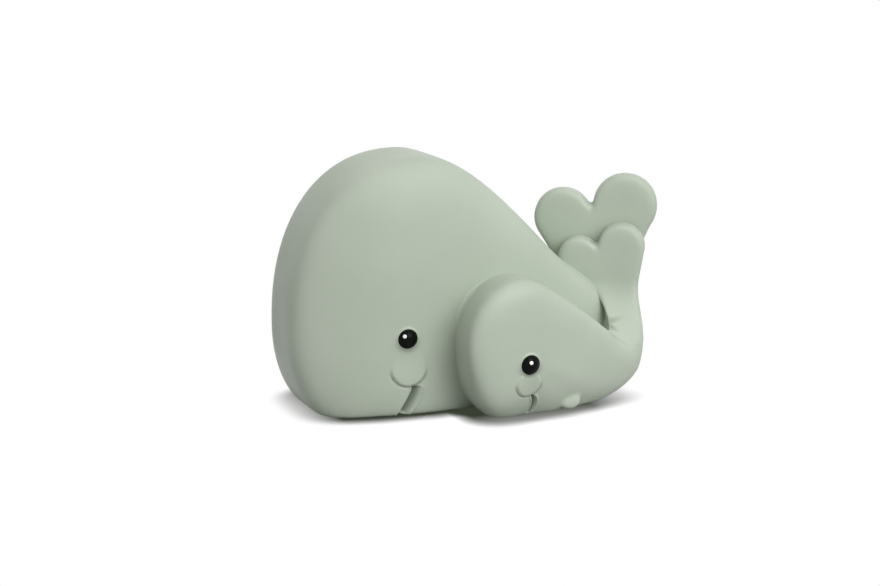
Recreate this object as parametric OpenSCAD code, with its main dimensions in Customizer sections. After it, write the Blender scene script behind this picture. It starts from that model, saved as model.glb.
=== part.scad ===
// Whale teether: a mother whale with her calf against her side, in soft natural rubber.
// Both are hollow shells that share one air space. They face -X, the calf lies on the mother's -Y side,
// and Z = 0 is the surface they stand on. The origin is the middle of the plug in the mother's foot.

/* [Mother, side view] */
// From the plug forward to the front of the head
mother_front = 47; // [42:0.5:52]
// Height of the foremost point
mother_front_z = 23.9; // [19:0.1:29]
// From the plug forward to the highest point
mother_crown = 7; // [4:0.5:10]
// Height of the highest point
mother_height = 73.3; // [68:0.1:78]
// From the plug forward to the start of the flat foot
mother_chin = 32; // [27:0.5:36]
// From the plug back to the end of the flat foot
mother_heel = 47; // [43:0.5:50]
// From the plug back to the rearmost point of the body
mother_rear = 56.6; // [54:0.1:59]
// Height of the rearmost point
mother_rear_z = 10; // [8:0.5:12]
// How far the back runs level behind the crown
mother_back_level = 24.25; // [22:0.25:27]
// How far the back runs straight above the rearmost point
mother_back_run = 8.8; // [7:0.1:11]
// Slope of the back at its lower end, in degrees
mother_back_slope = 51; // [46:1:57]
// How far the hip swells out of the back
mother_hip = 5.2; // [4.4:0.1:6]
// Where the hip swells most, from crown 0 to rear 1
mother_hip_at = 0.71; // [0.69:0.01:0.73]
// How long the hip is, as a share of the back
mother_hip_long = 0.13; // [0.11:0.01:0.15]
// How square the forehead is: 2 is oval, larger is squarer
mother_brow_square = 2.25; // [2.1:0.05:2.4]
// How square the rounds below the chin and the rear are
mother_belly_square = 2; // [1.9:0.05:2.2]
// How far the flat foot is cut into the rounded belly
mother_foot_cut = 2.9; // [2:0.1:4]

/* [Mother, thickness] */
// Half thickness at the front of the head
mother_snout_half = 14; // [12:0.5:16]
// Half thickness at the widest place
mother_half = 21; // [19:0.5:23]
// Half thickness at the rear
mother_rump_half = 19; // [17:0.5:21]
// From the plug forward to the widest place
mother_widest = 4; // [0:0.5:8]
// How square the flanks are towards the hip: 2 is oval, larger is flatter
mother_hip_square = 11; // [9:0.5:13]

/* [Mother, tail] */
// Radius of the fore lobe of the fluke
mother_fore_lobe_r = 8.6; // [8.2:0.1:9]
// Radius of the rear lobe of the fluke
mother_rear_lobe_r = 9.6; // [9.2:0.1:10]
// Radius of the notch between the lobes
mother_notch_r = 0.8; // [0.6:0.1:1.2]
// Half the distance between the lobes' centres
mother_lobe_half = 9.5; // [9:0.1:9.6]
// From the plug back to the middle between the lobes
mother_fluke_x = 51.7; // [49:0.1:54]
// Height of the middle between the lobes
mother_fluke_z = 52.5; // [50:0.1:55]
// Lean of the fluke towards the head, in degrees
mother_fluke_lean = 11; // [7:1:14]
// Thickness of the fluke
mother_fluke_t = 8; // [7:0.5:9]
// From the middle between the lobes down to the fullest point of the tail
mother_tail_core = 8; // [6:0.5:10]
// How far the fluke lies nearer to the calf than the tail's root
mother_tail_shift = 5; // [4:0.5:6]
// How far the fluke is turned towards the head, in degrees
mother_tail_turn = 30; // [26:1:34]
// Height at which the tail starts to shift and turn
mother_bend_low = 14; // [10:0.5:18]
// Height at which it ends
mother_bend_top = 42; // [38:0.5:46]
// Where the tail leaves the back, from crown 0 to rear 1
mother_root_from = 0.77; // [0.74:0.01:0.79]
// Where the tail ends on the back, from crown 0 to rear 1
mother_root_to = 1; // [0.96:0.01:1]
// How far the side of the tail that faces the head is hollowed
mother_fore_waist = 0.6; // [0.3:0.1:1]
// How far its other side is hollowed
mother_rear_waist = 1.4; // [1:0.1:2]
// How far past its tangent the fore lobe's round runs on, in degrees
mother_fore_wrap = 8; // [4:1:12]
// How far past its tangent the rear lobe's round runs on, in degrees
mother_rear_wrap = 18; // [14:1:24]

/* [Calf, side view] */
// From the mother's plug back to the calf's place
calf_x = 20; // [17:0.5:23]
// From its place forward to the front of the head
calf_front = 21; // [19:0.5:23]
// Height of the foremost point
calf_front_z = 19.5; // [17:0.5:22]
// From its place forward to the highest point
calf_crown = 4.5; // [3:0.5:7]
// Height of the highest point
calf_height = 38.8; // [36:0.1:41]
// From its place forward to the start of the flat foot
calf_chin = 13; // [10:0.5:16]
// From its place back to the end of the flat foot
calf_heel = 8.25; // [6:0.25:11]
// From its place back to the rearmost point of the body
calf_rear = 36.75; // [34:0.25:39]
// Height of the rearmost point
calf_rear_z = 11.9; // [10:0.1:14]
// How far the back runs level behind the crown
calf_back_level = 9.75; // [8:0.25:12]
// How far the back runs straight above the rearmost point
calf_back_run = 7.5; // [6:0.5:9]
// Slope of the back at its lower end, in degrees
calf_back_slope = 33; // [28:1:38]
// How square the forehead is: 2 is oval, larger is squarer
calf_brow_square = 2.2; // [2:0.1:3]
// How square the rounds below the chin and the rear are
calf_belly_square = 2.2; // [2:0.05:2.4]
// How far the flat foot is cut into the rounded belly
calf_foot_cut = 0.35; // [0.25:0.05:0.6]

/* [Calf, thickness] */
// Half thickness at the front of the head
calf_snout_half = 10; // [9:0.5:11]
// Half thickness at the widest place
calf_half = 12; // [10.5:0.5:13.5]
// Half thickness at the rear
calf_rump_half = 5.2; // [4.6:0.2:6]
// From its place forward to the widest place
calf_widest = 5; // [2:0.5:8]
// From the mother's flank out to the calf's middle
calf_standoff = 5; // [3:0.5:7]
// How far its rear lies nearer to the mother than its head
calf_rump_shift = 1; // [0:0.5:2]
// How square the flanks are towards the foot: 2 is oval, larger is flatter
calf_foot_square = 3.2; // [2.8:0.1:3.6]

/* [Calf, tail] */
// Radius of the fore lobe of the fluke
calf_fore_lobe_r = 6.2; // [5.8:0.1:6.6]
// Radius of the rear lobe of the fluke
calf_rear_lobe_r = 6.9; // [6.5:0.1:7.3]
// Radius of the notch between the lobes
calf_notch_r = 0.8; // [0.6:0.1:1.2]
// Half the distance between the lobes' centres
calf_lobe_half = 6.6; // [6.2:0.1:6.9]
// From its place back to the middle between the lobes
calf_fluke_x = 29.8; // [28:0.1:32]
// Height of the middle between the lobes
calf_fluke_z = 41.5; // [39.5:0.1:43.5]
// Lean of the fluke towards the head, in degrees
calf_fluke_lean = 16; // [12:1:20]
// Thickness of the fluke
calf_fluke_t = 8; // [7:0.5:9]
// From the middle between the lobes down to the fullest point of the tail
calf_tail_core = 5; // [4:0.5:6]
// How far the fluke lies nearer to the mother than the tail's root
calf_tail_shift = 12; // [11:0.5:13]
// How far the fluke is turned towards the head, in degrees
calf_tail_turn = 32; // [28:1:36]
// Height at which the tail starts to shift and turn
calf_bend_low = 12; // [9:0.5:15]
// Height at which it ends
calf_bend_top = 34; // [31:0.5:37]
// Where the tail leaves the back, from crown 0 to rear 1
calf_root_from = 0.65; // [0.62:0.01:0.68]
// Where the tail ends on the back, from crown 0 to rear 1
calf_root_to = 0.98; // [0.95:0.01:1]
// How far the side of the tail that faces the head is hollowed
calf_fore_waist = 6.2; // [5.4:0.1:7]
// How far its other side is hollowed: below 0 it swells
calf_rear_waist = -0.6; // [-1:0.1:0.4]
// How far past its tangent the fore lobe's round runs on, in degrees
calf_fore_wrap = 20; // [15:1:25]
// How far past its tangent the rear lobe's round runs on, in degrees
calf_rear_wrap = 2; // [0:1:6]
// Length of the fin on its flank
calf_fin_length = 5.8; // [4.5:0.1:7]
// Height of the fin
calf_fin_height = 4.6; // [3.6:0.1:5]
// How far the fin stands out of the flank
calf_fin_out = 2.2; // [1.5:0.1:3]
// From its place back to the middle of the fin
calf_fin_x = 10; // [8:0.1:13]
// Height of the middle of the fin
calf_fin_z = 2.6; // [2.6:0.1:4]

/* [Faces] */
// Diameter of the mother's eyes
mother_eye_d = 5.6; // [5:0.1:6.6]
// From the plug forward to the mother's eye
mother_eye_x = 15.5; // [14:0.5:20]
// Height of the mother's eye
mother_eye_z = 22.9; // [20:0.1:26]
// Diameter of the calf's eye
calf_eye_d = 5.5; // [4.8:0.1:6.4]
// From its place forward to the calf's eye
calf_eye_x = 5.3; // [3:0.1:8]
// Height of the calf's eye
calf_eye_z = 16.4; // [14:0.1:19]
// How far an eye bulges out of the face
eye_dome = 1.7; // [1.2:0.1:2.2]
// Depth of the seat an eye is set in
eye_seat = 1.2; // [0.8:0.1:1.6]
// Gap round an eye in its seat
eye_fit = 0.1; // [0.05:0.05:0.2]
// Diameter of the white spot on an eye
glint_d = 1.5; // [1.2:0.1:1.8]
// How deep a white spot is set into its eye
glint_seat = 0.5; // [0.4:0.1:0.7]
// How far a white spot stands proud
glint_proud = 0.12; // [0.1:0.02:0.2]
// How far the white spots of the mother's eyes are turned from the middle, in degrees
mother_glint_turn = 27; // [20:1:32]
// Way in which they are turned, in degrees up from the tail
mother_glint_heading = 141; // [120:1:160]
// How far the white spot of the calf's eye is turned from the middle, in degrees
calf_glint_turn = 16; // [10:1:24]
// Way in which it is turned, in degrees up from the tail
calf_glint_heading = 115; // [95:1:135]
// Diameter of the mother's cheek
mother_cheek_d = 11; // [10:0.5:13]
// From the mother's eye down to the middle of her cheek
mother_cheek_drop = 9.2; // [8:0.2:10]
// Diameter of the calf's cheek
calf_cheek_d = 8; // [7:0.5:9]
// From the calf's eye down to the middle of its cheek
calf_cheek_drop = 6.8; // [6:0.2:7.6]
// How far the lower edge of a cheek stands out
cheek_out = 1.3; // [0.9:0.1:1.6]
// Tilt of a cheek into the face at its upper edge, in degrees
cheek_tilt = 11; // [8:1:14]
// Width of a mouth groove
mouth_width = 2.2; // [1.6:0.1:2.6]
// From the middle of the mother's cheek down to the middle of her mouth
mother_mouth_drop = 9; // [8.4:0.2:9.6]
// From the middle of the mother's cheek back to the middle of her mouth
mother_mouth_back = 1.7; // [1:0.1:2.4]
// Length of the mother's mouth
mother_mouth_length = 9; // [7:0.5:11]
// Bend radius of the mother's mouth
mother_mouth_bend = 20; // [16:1:24]
// From the middle of the calf's cheek down to the middle of its mouth
calf_mouth_drop = 5.8; // [5.4:0.2:6.2]
// From the middle of the calf's cheek back to the middle of its mouth
calf_mouth_back = 1.6; // [1:0.1:2.2]
// Length of the calf's mouth
calf_mouth_length = 5.5; // [4:0.5:7]
// Bend radius of the calf's mouth
calf_mouth_bend = 8; // [6:0.5:10]
// Heading of a mouth at its middle, in degrees below level
mouth_heading = 60; // [50:1:70]

/* [Shell] */
// Thickness of the rubber wall
wall = 3; // [2.5:0.25:3.5]
// How square the flanks are: 2 is oval, larger is flatter
flank_square = 5.5; // [5:0.1:6]
// Bond line between two pieces of rubber
bond = 0.2; // [0.1:0.05:0.3]
// How square the edges of a tail are: 2 is oval, larger is flatter
tail_square = 7; // [6:0.1:8]
// How deep a tail's root reaches into the rounded back
root_sink = 3; // [2:0.5:4]
// Diameter of the filling hole in the mother's foot
hole_d = 9; // [7:0.5:11]
// Gap round the plug in the filling hole
plug_fit = 0.1; // [0.05:0.05:0.2]
// How far the head of the plug reaches past the hole
plug_lip = 1.5; // [1:0.25:2]
// Thickness of the head of the plug
plug_head = 1.4; // [1:0.1:2]
// Diameter of the air passage between the two shells
port_d = 8; // [6:0.5:10]

/* [Hidden] */

rubber = [0.66, 0.71, 0.64];
black = [0.06, 0.06, 0.06];
white = [0.95, 0.95, 0.93];
round_steps = 48;
hip_heading = 16;
hip_spread = 26;
foot_heading = -85;
foot_spread = 40;

// Curves
function mix(a, b, t) = a + (b - a) * t;
function smooth(t) = let (c = min(max(t, 0), 1)) c * c * (3 - 2 * c);
function bezier(p, t) =
    let (u = 1 - t) u * u * u * p[0] + 3 * u * u * t * p[1] + 3 * u * t * t * p[2] + t * t * t * p[3];
function quarter(middle, from, to, square, steps) =
    [for (i = [1 : steps]) let (a = 90 * i / steps)
        middle + pow(cos(a), 2 / square) * (from - middle) + pow(sin(a), 2 / square) * (to - middle)];

// A whale is [sides, core, girth, spine, hip, square]: its corner points in the side view, the point that
// its flanks swell from, its half thicknesses along X, the run of its middle plane from head to tail, the
// [height, place, length] of the swell on its back, and the [square, heading, spread] that sets where its
// flanks are more or less square than elsewhere.
function core_of(w) = w[1];
function girth_of(w) = w[2];
function spine_of(w) = w[3];

function back_curve(crown, rear, level, run, slope) =
    [crown, crown + [level, 0], rear + run * [-cos(slope), sin(slope)], rear];

// A point on the back, with its hip.
function back_point(w, t) =
    let (b = w[0][2], hip = w[4], d = bezier(b, t + 0.01) - bezier(b, t - 0.01))
    bezier(b, t) + hip[0] * exp(-pow((t - hip[1]) / hip[2], 2)) * [-d[1], d[0]] / norm(d);

function outline_of(w, n) =
    let (chin = w[0][0], front = w[0][1], back = w[0][2], heel = w[0][3], crown = back[0], rear = back[3])
    concat(
        quarter([chin[0], front[1]], chin, front, w[0][5], n),
        quarter([crown[0], front[1]], front, crown, w[0][4], n),
        [for (i = [1 : 2 * n]) back_point(w, i / (2 * n))],
        quarter([heel[0], rear[1]], rear, heel, w[0][5], n),
        [for (i = [1 : n / 2]) mix(heel, chin, i / (n / 2))]);

function half_at(w, x) =
    let (front = girth_of(w)[0], widest = girth_of(w)[1], rear = girth_of(w)[2])
    x < widest[0]
        ? mix(front[1], widest[1], sin(90 * min(max((x - front[0]) / (widest[0] - front[0]), 0), 1)))
        : mix(widest[1], rear[1], smooth((x - widest[0]) / (rear[0] - widest[0])));

function spine_at(w, x) =
    let (widest = girth_of(w)[1], rear = girth_of(w)[2])
    mix(spine_of(w)[0], spine_of(w)[1], smooth((x - widest[0]) / (rear[0] - widest[0])));

// Distance from the core to the outline along a direction in the side view.
function reach(w, direction) =
    let (o = w[6], c = core_of(w), n = len(o))
    max([for (i = [0 : n - 1])
        let (a = o[i] - c, b = o[(i + 1) % n] - c, s = cross(direction, a), t = cross(direction, b))
        if (s != t && s * t <= 0) let (p = a + (b - a) * s / (s - t)) p * direction]);

// How square a whale's section is along a direction in the side view.
function square_at(w, d) =
    let (place = w[5])
    flank_square + (place[0] - flank_square) * exp(-pow((atan2(d[1], d[0]) - place[1]) / place[2], 2));

function swell(share, square) = pow(max(0, 1 - pow(share, square)), 1 / square);

// Near flank of a whale at a place in the side view. Outside the outline it is the middle plane.
function flank_y(w, x, z) =
    let (d = [x, z] - core_of(w), r = norm(d), share = r < 0.001 ? 0 : min(1, r / reach(w, d / r)))
    spine_at(w, x) - half_at(w, x) * swell(share, square_at(w, d));

function flank_normal(w, x, z) =
    let (sx = flank_y(w, x + 0.5, z) - flank_y(w, x - 0.5, z),
         sz = flank_y(w, x, z + 0.5) - flank_y(w, x, z - 0.5))
    [sx, -1, sz] / norm([sx, -1, sz]);

function latitudes(m) = [for (i = [-m + 1 : m - 1]) 90 * i / m];
function ring_share(lat, square) = pow(cos(lat), 2 / square);
function ring_rise(lat, square) = sign(lat) * pow(abs(sin(lat)), 2 / square);

// One point of a whale's skin, moved in by an inset and lifted to its foot.
function skin_point(w, place, rise, inset) =
    [place[0], spine_at(w, place[0]) + rise * (half_at(w, place[0]) - inset), max(place[1], inset)];

// Rings of a whale's skin: n sets the points along the outline and m the rings from outline to flank.
function rings(w, inset, n, m) =
    let (c = core_of(w))
    concat(
        [[skin_point(w, c, -1, inset)]],
        [for (lat = latitudes(m))
            [for (p = outline_of(w, n)) let (d = p - c, r = norm(d), q = square_at(w, d))
                skin_point(w, c + d * (r - inset) / r * ring_share(lat, q), ring_rise(lat, q), inset)]],
        [[skin_point(w, c, 1, inset)]]);

// Closed skin over rings of equal count, with one point at each end.
module skin(r) {
    n = len(r[1]);
    last = len(r) - 1;
    start = function(k) k == 0 ? 0 : 1 + (k - 1) * n;
    caps = [for (j = [0 : n - 1]) let (k = (j + 1) % n) each [
        [0, 1 + j, 1 + k],
        [start(last), start(last - 1) + k, start(last - 1) + j]]];
    sides = [for (i = [1 : last - 2], j = [0 : n - 1])
        let (k = (j + 1) % n, a = start(i), b = start(i + 1)) each [
            [a + j, b + j, b + k],
            [a + j, b + k, a + k]]];
    polyhedron(points = [for (line = r) each line], faces = concat(caps, sides), convexity = 6);
}

function with_outline(w) = concat(w, [outline_of(w, 28)]);

mother_back = back_curve(
    [-mother_crown, mother_height], [mother_rear, mother_rear_z],
    mother_back_level, mother_back_run, mother_back_slope);
mother = with_outline([
    [[-mother_chin, -mother_foot_cut], [-mother_front, mother_front_z],
        mother_back, [mother_heel, -mother_foot_cut], mother_brow_square, mother_belly_square],
    [-mother_crown, mother_front_z],
    [[-mother_front, mother_snout_half], [-mother_widest, mother_half], [mother_rear, mother_rump_half]],
    [0, 0], [mother_hip, mother_hip_at, mother_hip_long], [mother_hip_square, hip_heading, hip_spread]]);

calf_y = -(mother_half + calf_standoff);
calf_back = back_curve(
    [calf_x - calf_crown, calf_height], [calf_x + calf_rear, calf_rear_z],
    calf_back_level, calf_back_run, calf_back_slope);
calf = with_outline([
    [[calf_x - calf_chin, -calf_foot_cut], [calf_x - calf_front, calf_front_z],
        calf_back, [calf_x + calf_heel, -calf_foot_cut], calf_brow_square, calf_belly_square],
    [calf_x - calf_crown, calf_front_z],
    [[calf_x - calf_front, calf_snout_half], [calf_x - calf_widest, calf_half],
        [calf_x + calf_rear, calf_rump_half]],
    [calf_y, calf_y + calf_rump_shift], [0, 0, 1], [calf_foot_square, foot_heading, foot_spread]]);

// Moves a point out to the near side of a whale's flank.
function beside(w, p, gap) = [p[0], min(p[1], flank_y(w, p[0], p[2]) - gap), p[2]];

// A tail is [middle, lean, half, radii, wraps, waists, core, thickness, shift, turn, heights]: the middle
// between the lobes and how they lean, half their distance, the radii of the fore lobe, the rear lobe and the
// notch, how far the rounds wrap and the sides are hollowed, the drop to its fullest point, its thickness,
// and its sideways shift and turn between two heights.
function touch_angle(from, middle, r, side) =
    let (d = from - middle) atan2(d[1], d[0]) + side * acos(r / norm(d));

function rim(middle, r, a) = middle + r * [cos(a), sin(a)];

function beyond(from, to, length) = to + length * (to - from) / norm(to - from);

// A point on a tail's side, hollowed most half way from its root to its lobe.
function hollow(root, lobe, waist, t) =
    let (d = (lobe - root) / norm(lobe - root))
    mix(root, lobe, t) + 4 * t * (1 - t) * waist * [d[1], -d[0]];

// Side view of a tail that grows from the back between two points.
function tail_outline(tail, top, low, n) =
    let (middle = tail[0], lean = tail[1], half = tail[2],
         fore_r = tail[3][0], rear_r = tail[3][1], notch_r = tail[3][2],
         along = [cos(lean), sin(lean)],
         fore = middle - half * along,
         rear = middle + half * along,
         aside = (pow(fore_r + notch_r, 2) - pow(rear_r + notch_r, 2)) / (4 * half),
         up = sqrt(pow(fore_r + notch_r, 2) - pow(half + aside, 2)),
         notch = middle + aside * along + up * [-along[1], along[0]],
         fore_to = lean + atan2(up, half + aside),
         rear_from = lean + 180 - atan2(up, half - aside),
         a = touch_angle(top, fore, fore_r, -1),
         b = touch_angle(low, rear, rear_r, 1),
         fore_from = (a < 0 ? a + 360 : a) + tail[4][0],
         rear_to = (b > 180 ? b - 360 : b) - tail[4][1],
         deep_top = beyond(rim(fore, fore_r, fore_from), top, root_sink),
         deep_low = beyond(rim(rear, rear_r, rear_to), low, root_sink))
    concat(
        [for (i = [1 : n]) rim(fore, fore_r, mix(fore_from, fore_to, i / n))],
        [for (i = [1 : 3]) rim(notch, notch_r, mix(fore_to + 180, rear_from + 180, i / 4))],
        [for (i = [0 : n]) rim(rear, rear_r, mix(rear_from, rear_to, i / n))],
        [for (i = [1 : n]) hollow(deep_low, rim(rear, rear_r, rear_to), -tail[5][1], 1 - i / n)],
        [for (i = [1 : n / 2]) mix(deep_low, deep_top, i / (n / 2))],
        [for (i = [1 : n]) hollow(deep_top, rim(fore, fore_r, fore_from), tail[5][0], i / n)]);

// Pushes a point of a tail out of the body it grows from.
function outside(w, p, gap) =
    let (d = [p[0], p[2]] - core_of(w), r = norm(d),
         share = swell(min(1, abs(p[1] - spine_at(w, p[0])) / half_at(w, p[0])), square_at(w, d)),
         need = reach(w, d / r) * share + gap,
         q = core_of(w) + d * max(r, need) / r)
    [q[0], p[1], q[1]];

// One point of a tail's skin, shifted and turned with its height.
function tail_point(w, tail, y, p, rise) =
    let (share = smooth((p[1] - tail[10][0]) / (tail[10][1] - tail[10][0])),
         turn = tail[9] * share,
         dx = p[0] - tail[0][0],
         dy = rise * tail[7] / 2)
    outside(w, [tail[0][0] + dx * cos(turn) + dy * sin(turn),
        y + tail[8] * share - dx * sin(turn) + dy * cos(turn), p[1]], bond);

// Rings of a tail, spaced evenly from its fullest point to its edge.
function tail_rings(w, tail, y, top, low, n, m) =
    let (core = tail[0] - tail[6] * [-sin(tail[1]), cos(tail[1])], outline = tail_outline(tail, top, low, n))
    concat(
        [[tail_point(w, tail, y, core, -1)]],
        [for (i = [1 - m : m - 1])
            let (polar = 90 * pow(1 - abs(i) / m, tail_square / 2), share = pow(sin(polar), 2 / tail_square),
                 rise = sign(i) * pow(abs(cos(polar)), 2 / tail_square))
            [for (p = outline) tail_point(w, tail, y, mix(core, p, share), rise)]],
        [[tail_point(w, tail, y, core, 1)]]);

// Stands children on a near flank: their Z points out of it and their Y up along it.
module on_flank(w, x, z) {
    n = flank_normal(w, x, z);
    a = cross([0, 0, 1], n) / norm(cross([0, 0, 1], n));
    b = cross(n, a);
    y = flank_y(w, x, z);
    multmatrix([[a[0], b[0], n[0], x], [a[1], b[1], n[1], y], [a[2], b[2], n[2], z], [0, 0, 0, 1]])
        children();
}

mother_aim = [mother_glint_turn, mother_glint_heading];
calf_aim = [calf_glint_turn, calf_glint_heading];

module far_side() {
    mirror([0, 1, 0])
        children();
}

// Radius of the ball that an eye's dome is cut from.
function eye_ball(d) = (d * d / 4 + eye_dome * eye_dome) / (2 * eye_dome);

// An eye bead from the floor of its seat to the top of its dome.
module eye(d, aim) {
    r = d / 2;
    ball = eye_ball(d);
    difference() {
        rotate_extrude($fn = round_steps)
            union() {
                translate([0, -eye_seat])
                    square([r - eye_fit, eye_seat]);
                intersection() {
                    translate([0, eye_dome - ball])
                        circle(ball, $fn = round_steps);
                    square([r - eye_fit, eye_dome]);
                }
            }
        glint_place(d, aim)
            cylinder(h = eye_dome, d = glint_d, $fn = round_steps);
    }
}

module eye_hole(d) {
    translate([0, 0, -eye_seat])
        cylinder(h = eye_seat + eye_dome, d = d, $fn = round_steps);
}

// Stands children on the floor of a white spot's seat, square to the dome. An aim is [turn, heading].
module glint_place(d, aim) {
    ball = eye_ball(d);
    translate([0, 0, eye_dome - ball])
        rotate([0, aim[0], aim[1]])
            translate([0, 0, ball - glint_seat])
                children();
}

module glint(d, aim) {
    glint_place(d, aim)
        cylinder(h = glint_seat + glint_proud, d = glint_d, $fn = round_steps);
}

// A cheek: a round-edged pad that is tilted into the face at its upper edge.
module cheek(d) {
    r = d / 2;
    edge = cheek_out;
    rotate([-cheek_tilt, 0, 0])
        translate([0, 0, cheek_out - r * sin(cheek_tilt) - 2 * edge])
            rotate_extrude($fn = round_steps)
                union() {
                    square([r - edge, 2 * edge]);
                    translate([r - edge, 0])
                        square([edge, edge]);
                    intersection() {
                        translate([r - edge, edge])
                            circle(edge, $fn = round_steps);
                        translate([r - edge, edge])
                            square(edge);
                    }
                }
}

// A mouth groove: a bent rod cut half deep into the flank.
module mouth(length, bend) {
    sweep = 180 / PI * length / bend;
    translate(bend * [-sin(mouth_heading), cos(mouth_heading), 0])
        rotate([0, 0, mouth_heading - 90 - sweep / 2])
            rotate_extrude(angle = sweep, $fn = 2 * round_steps)
                translate([bend, 0])
                    circle(mouth_width / 2, $fn = round_steps);
}

// The opening that joins the two hollows, through both walls where the shells meet.
module port() {
    reach_in = 2 * wall;
    translate([calf_x - calf_crown, -(mother_half - reach_in), calf_front_z])
        rotate([90, 0, 0])
            cylinder(h = bond + 2 * reach_in, d = port_d, $fn = round_steps);
}

// Places of the face features on the near flanks.
module mother_eye_place() {
    on_flank(mother, -mother_eye_x, mother_eye_z)
        children();
}

module mother_cheek_place() {
    on_flank(mother, -mother_eye_x, mother_eye_z - mother_cheek_drop)
        children();
}

module mother_mouth_place() {
    on_flank(mother, mother_mouth_back - mother_eye_x, mother_eye_z - mother_cheek_drop - mother_mouth_drop)
        children();
}

module calf_eye_place() {
    on_flank(calf, calf_x - calf_eye_x, calf_eye_z)
        children();
}

module calf_cheek_place() {
    on_flank(calf, calf_x - calf_eye_x, calf_eye_z - calf_cheek_drop)
        children();
}

module calf_mouth_place() {
    on_flank(calf, calf_x - calf_eye_x + calf_mouth_back, calf_eye_z - calf_cheek_drop - calf_mouth_drop)
        children();
}

module both_sides() {
    children();
    far_side()
        children();
}

module mother_body() {
    color(rubber)
        difference() {
            union() {
                skin(rings(mother, 0, 14, 14));
                both_sides()
                    mother_cheek_place()
                        cheek(mother_cheek_d);
            }
            skin(rings(mother, wall, 8, 6));
            both_sides()
                mother_eye_place()
                    eye_hole(mother_eye_d);
            both_sides()
                mother_mouth_place()
                    mouth(mother_mouth_length, mother_mouth_bend);
            translate([0, 0, -1])
                cylinder(h = wall + 2, d = hole_d, $fn = round_steps);
            port();
        }
}

module mother_tail() {
    tail = [[mother_fluke_x, mother_fluke_z], mother_fluke_lean, mother_lobe_half,
        [mother_fore_lobe_r, mother_rear_lobe_r, mother_notch_r], [mother_fore_wrap, mother_rear_wrap],
        [mother_fore_waist, mother_rear_waist], mother_tail_core, mother_fluke_t, -mother_tail_shift,
        mother_tail_turn, [mother_bend_low, mother_bend_top]];
    top = bezier(mother_back, mother_root_from);
    low = bezier(mother_back, mother_root_to);
    color(rubber)
        skin(tail_rings(mother, tail, 0, top, low, 10, 12));
}

module mother_near_eye() {
    color(black)
        mother_eye_place()
            eye(mother_eye_d, mother_aim);
}

module mother_far_eye() {
    color(black)
        far_side()
            mother_eye_place()
                eye(mother_eye_d, mother_aim);
}

module mother_near_glint() {
    color(white)
        mother_eye_place()
            glint(mother_eye_d, mother_aim);
}

module mother_far_glint() {
    color(white)
        far_side()
            mother_eye_place()
                glint(mother_eye_d, mother_aim);
}

// The plug: flush with the foot, with a head that holds on the inside of the wall.
module mother_plug() {
    r = hole_d / 2 - plug_fit;
    color(rubber)
        rotate_extrude($fn = round_steps)
            union() {
                square([r, wall]);
                translate([0, wall])
                    square([hole_d / 2 + plug_lip, plug_head]);
            }
}

module calf_body() {
    color(rubber)
        difference() {
            union() {
                skin([for (r = rings(calf, 0, 14, 14)) [for (p = r) beside(mother, p, bond)]]);
                calf_cheek_place()
                    cheek(calf_cheek_d);
            }
            skin([for (r = rings(calf, wall, 8, 6)) [for (p = r) beside(mother, p, bond + wall)]]);
            calf_eye_place()
                eye_hole(calf_eye_d);
            calf_mouth_place()
                mouth(calf_mouth_length, calf_mouth_bend);
            port();
        }
}

// The tail, cut where its fore lobe lies in the mother's hip.
module calf_tail() {
    tail = [[calf_x + calf_fluke_x, calf_fluke_z], calf_fluke_lean, calf_lobe_half,
        [calf_fore_lobe_r, calf_rear_lobe_r, calf_notch_r], [calf_fore_wrap, calf_rear_wrap],
        [calf_fore_waist, calf_rear_waist], calf_tail_core, calf_fluke_t, calf_tail_shift, calf_tail_turn,
        [calf_bend_low, calf_bend_top]];
    top = bezier(calf_back, calf_root_from);
    low = bezier(calf_back, calf_root_to);
    color(rubber)
        difference() {
            skin(tail_rings(calf, tail, calf_y + calf_rump_shift, top, low, 10, 12));
            skin(rings(mother, -bond, 14, 14));
        }
}

// A round bud, cut to the shape of the flank it sits on.
module calf_fin() {
    x = calf_x + calf_fin_x;
    middle = [x, flank_y(calf, x, calf_fin_z), calf_fin_z];
    half = [calf_fin_length / 2, calf_fin_out, -calf_fin_height / 2];
    bud = function(a, lat)
        middle + [half[0] * cos(a) * cos(lat), half[1] * sin(lat), half[2] * sin(a) * cos(lat)];
    color(rubber)
        difference() {
            skin(concat(
                [[bud(0, -90)]],
                [for (lat = [-75 : 15 : 75]) [for (a = [0 : 15 : 345]) bud(a, lat)]],
                [[bud(0, 90)]]));
            skin(rings(calf, -bond, 14, 14));
        }
}

module calf_eye() {
    color(black)
        calf_eye_place()
            eye(calf_eye_d, calf_aim);
}

module calf_glint() {
    color(white)
        calf_eye_place()
            glint(calf_eye_d, calf_aim);
}

mother_body();
mother_tail();
mother_near_eye();
mother_far_eye();
mother_near_glint();
mother_far_glint();
mother_plug();
calf_body();
calf_tail();
calf_fin();
calf_eye();
calf_glint();
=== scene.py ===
"""Looks of the whale teether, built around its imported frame.

A mother whale and her calf in soft sage rubber: one skin for each whale, bead eyes with a white spot, and
the plug in the mother's foot. Everything is in metres, in the frame's own place: the whales face -X, the
calf lies on the mother's -Y side and Z = 0 is the surface that they stand on.
"""

import logging
import math
from collections.abc import Callable
from dataclasses import dataclass
from enum import Enum

import bmesh
import bpy
import numpy as np
from mathutils import Matrix, Vector


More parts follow.
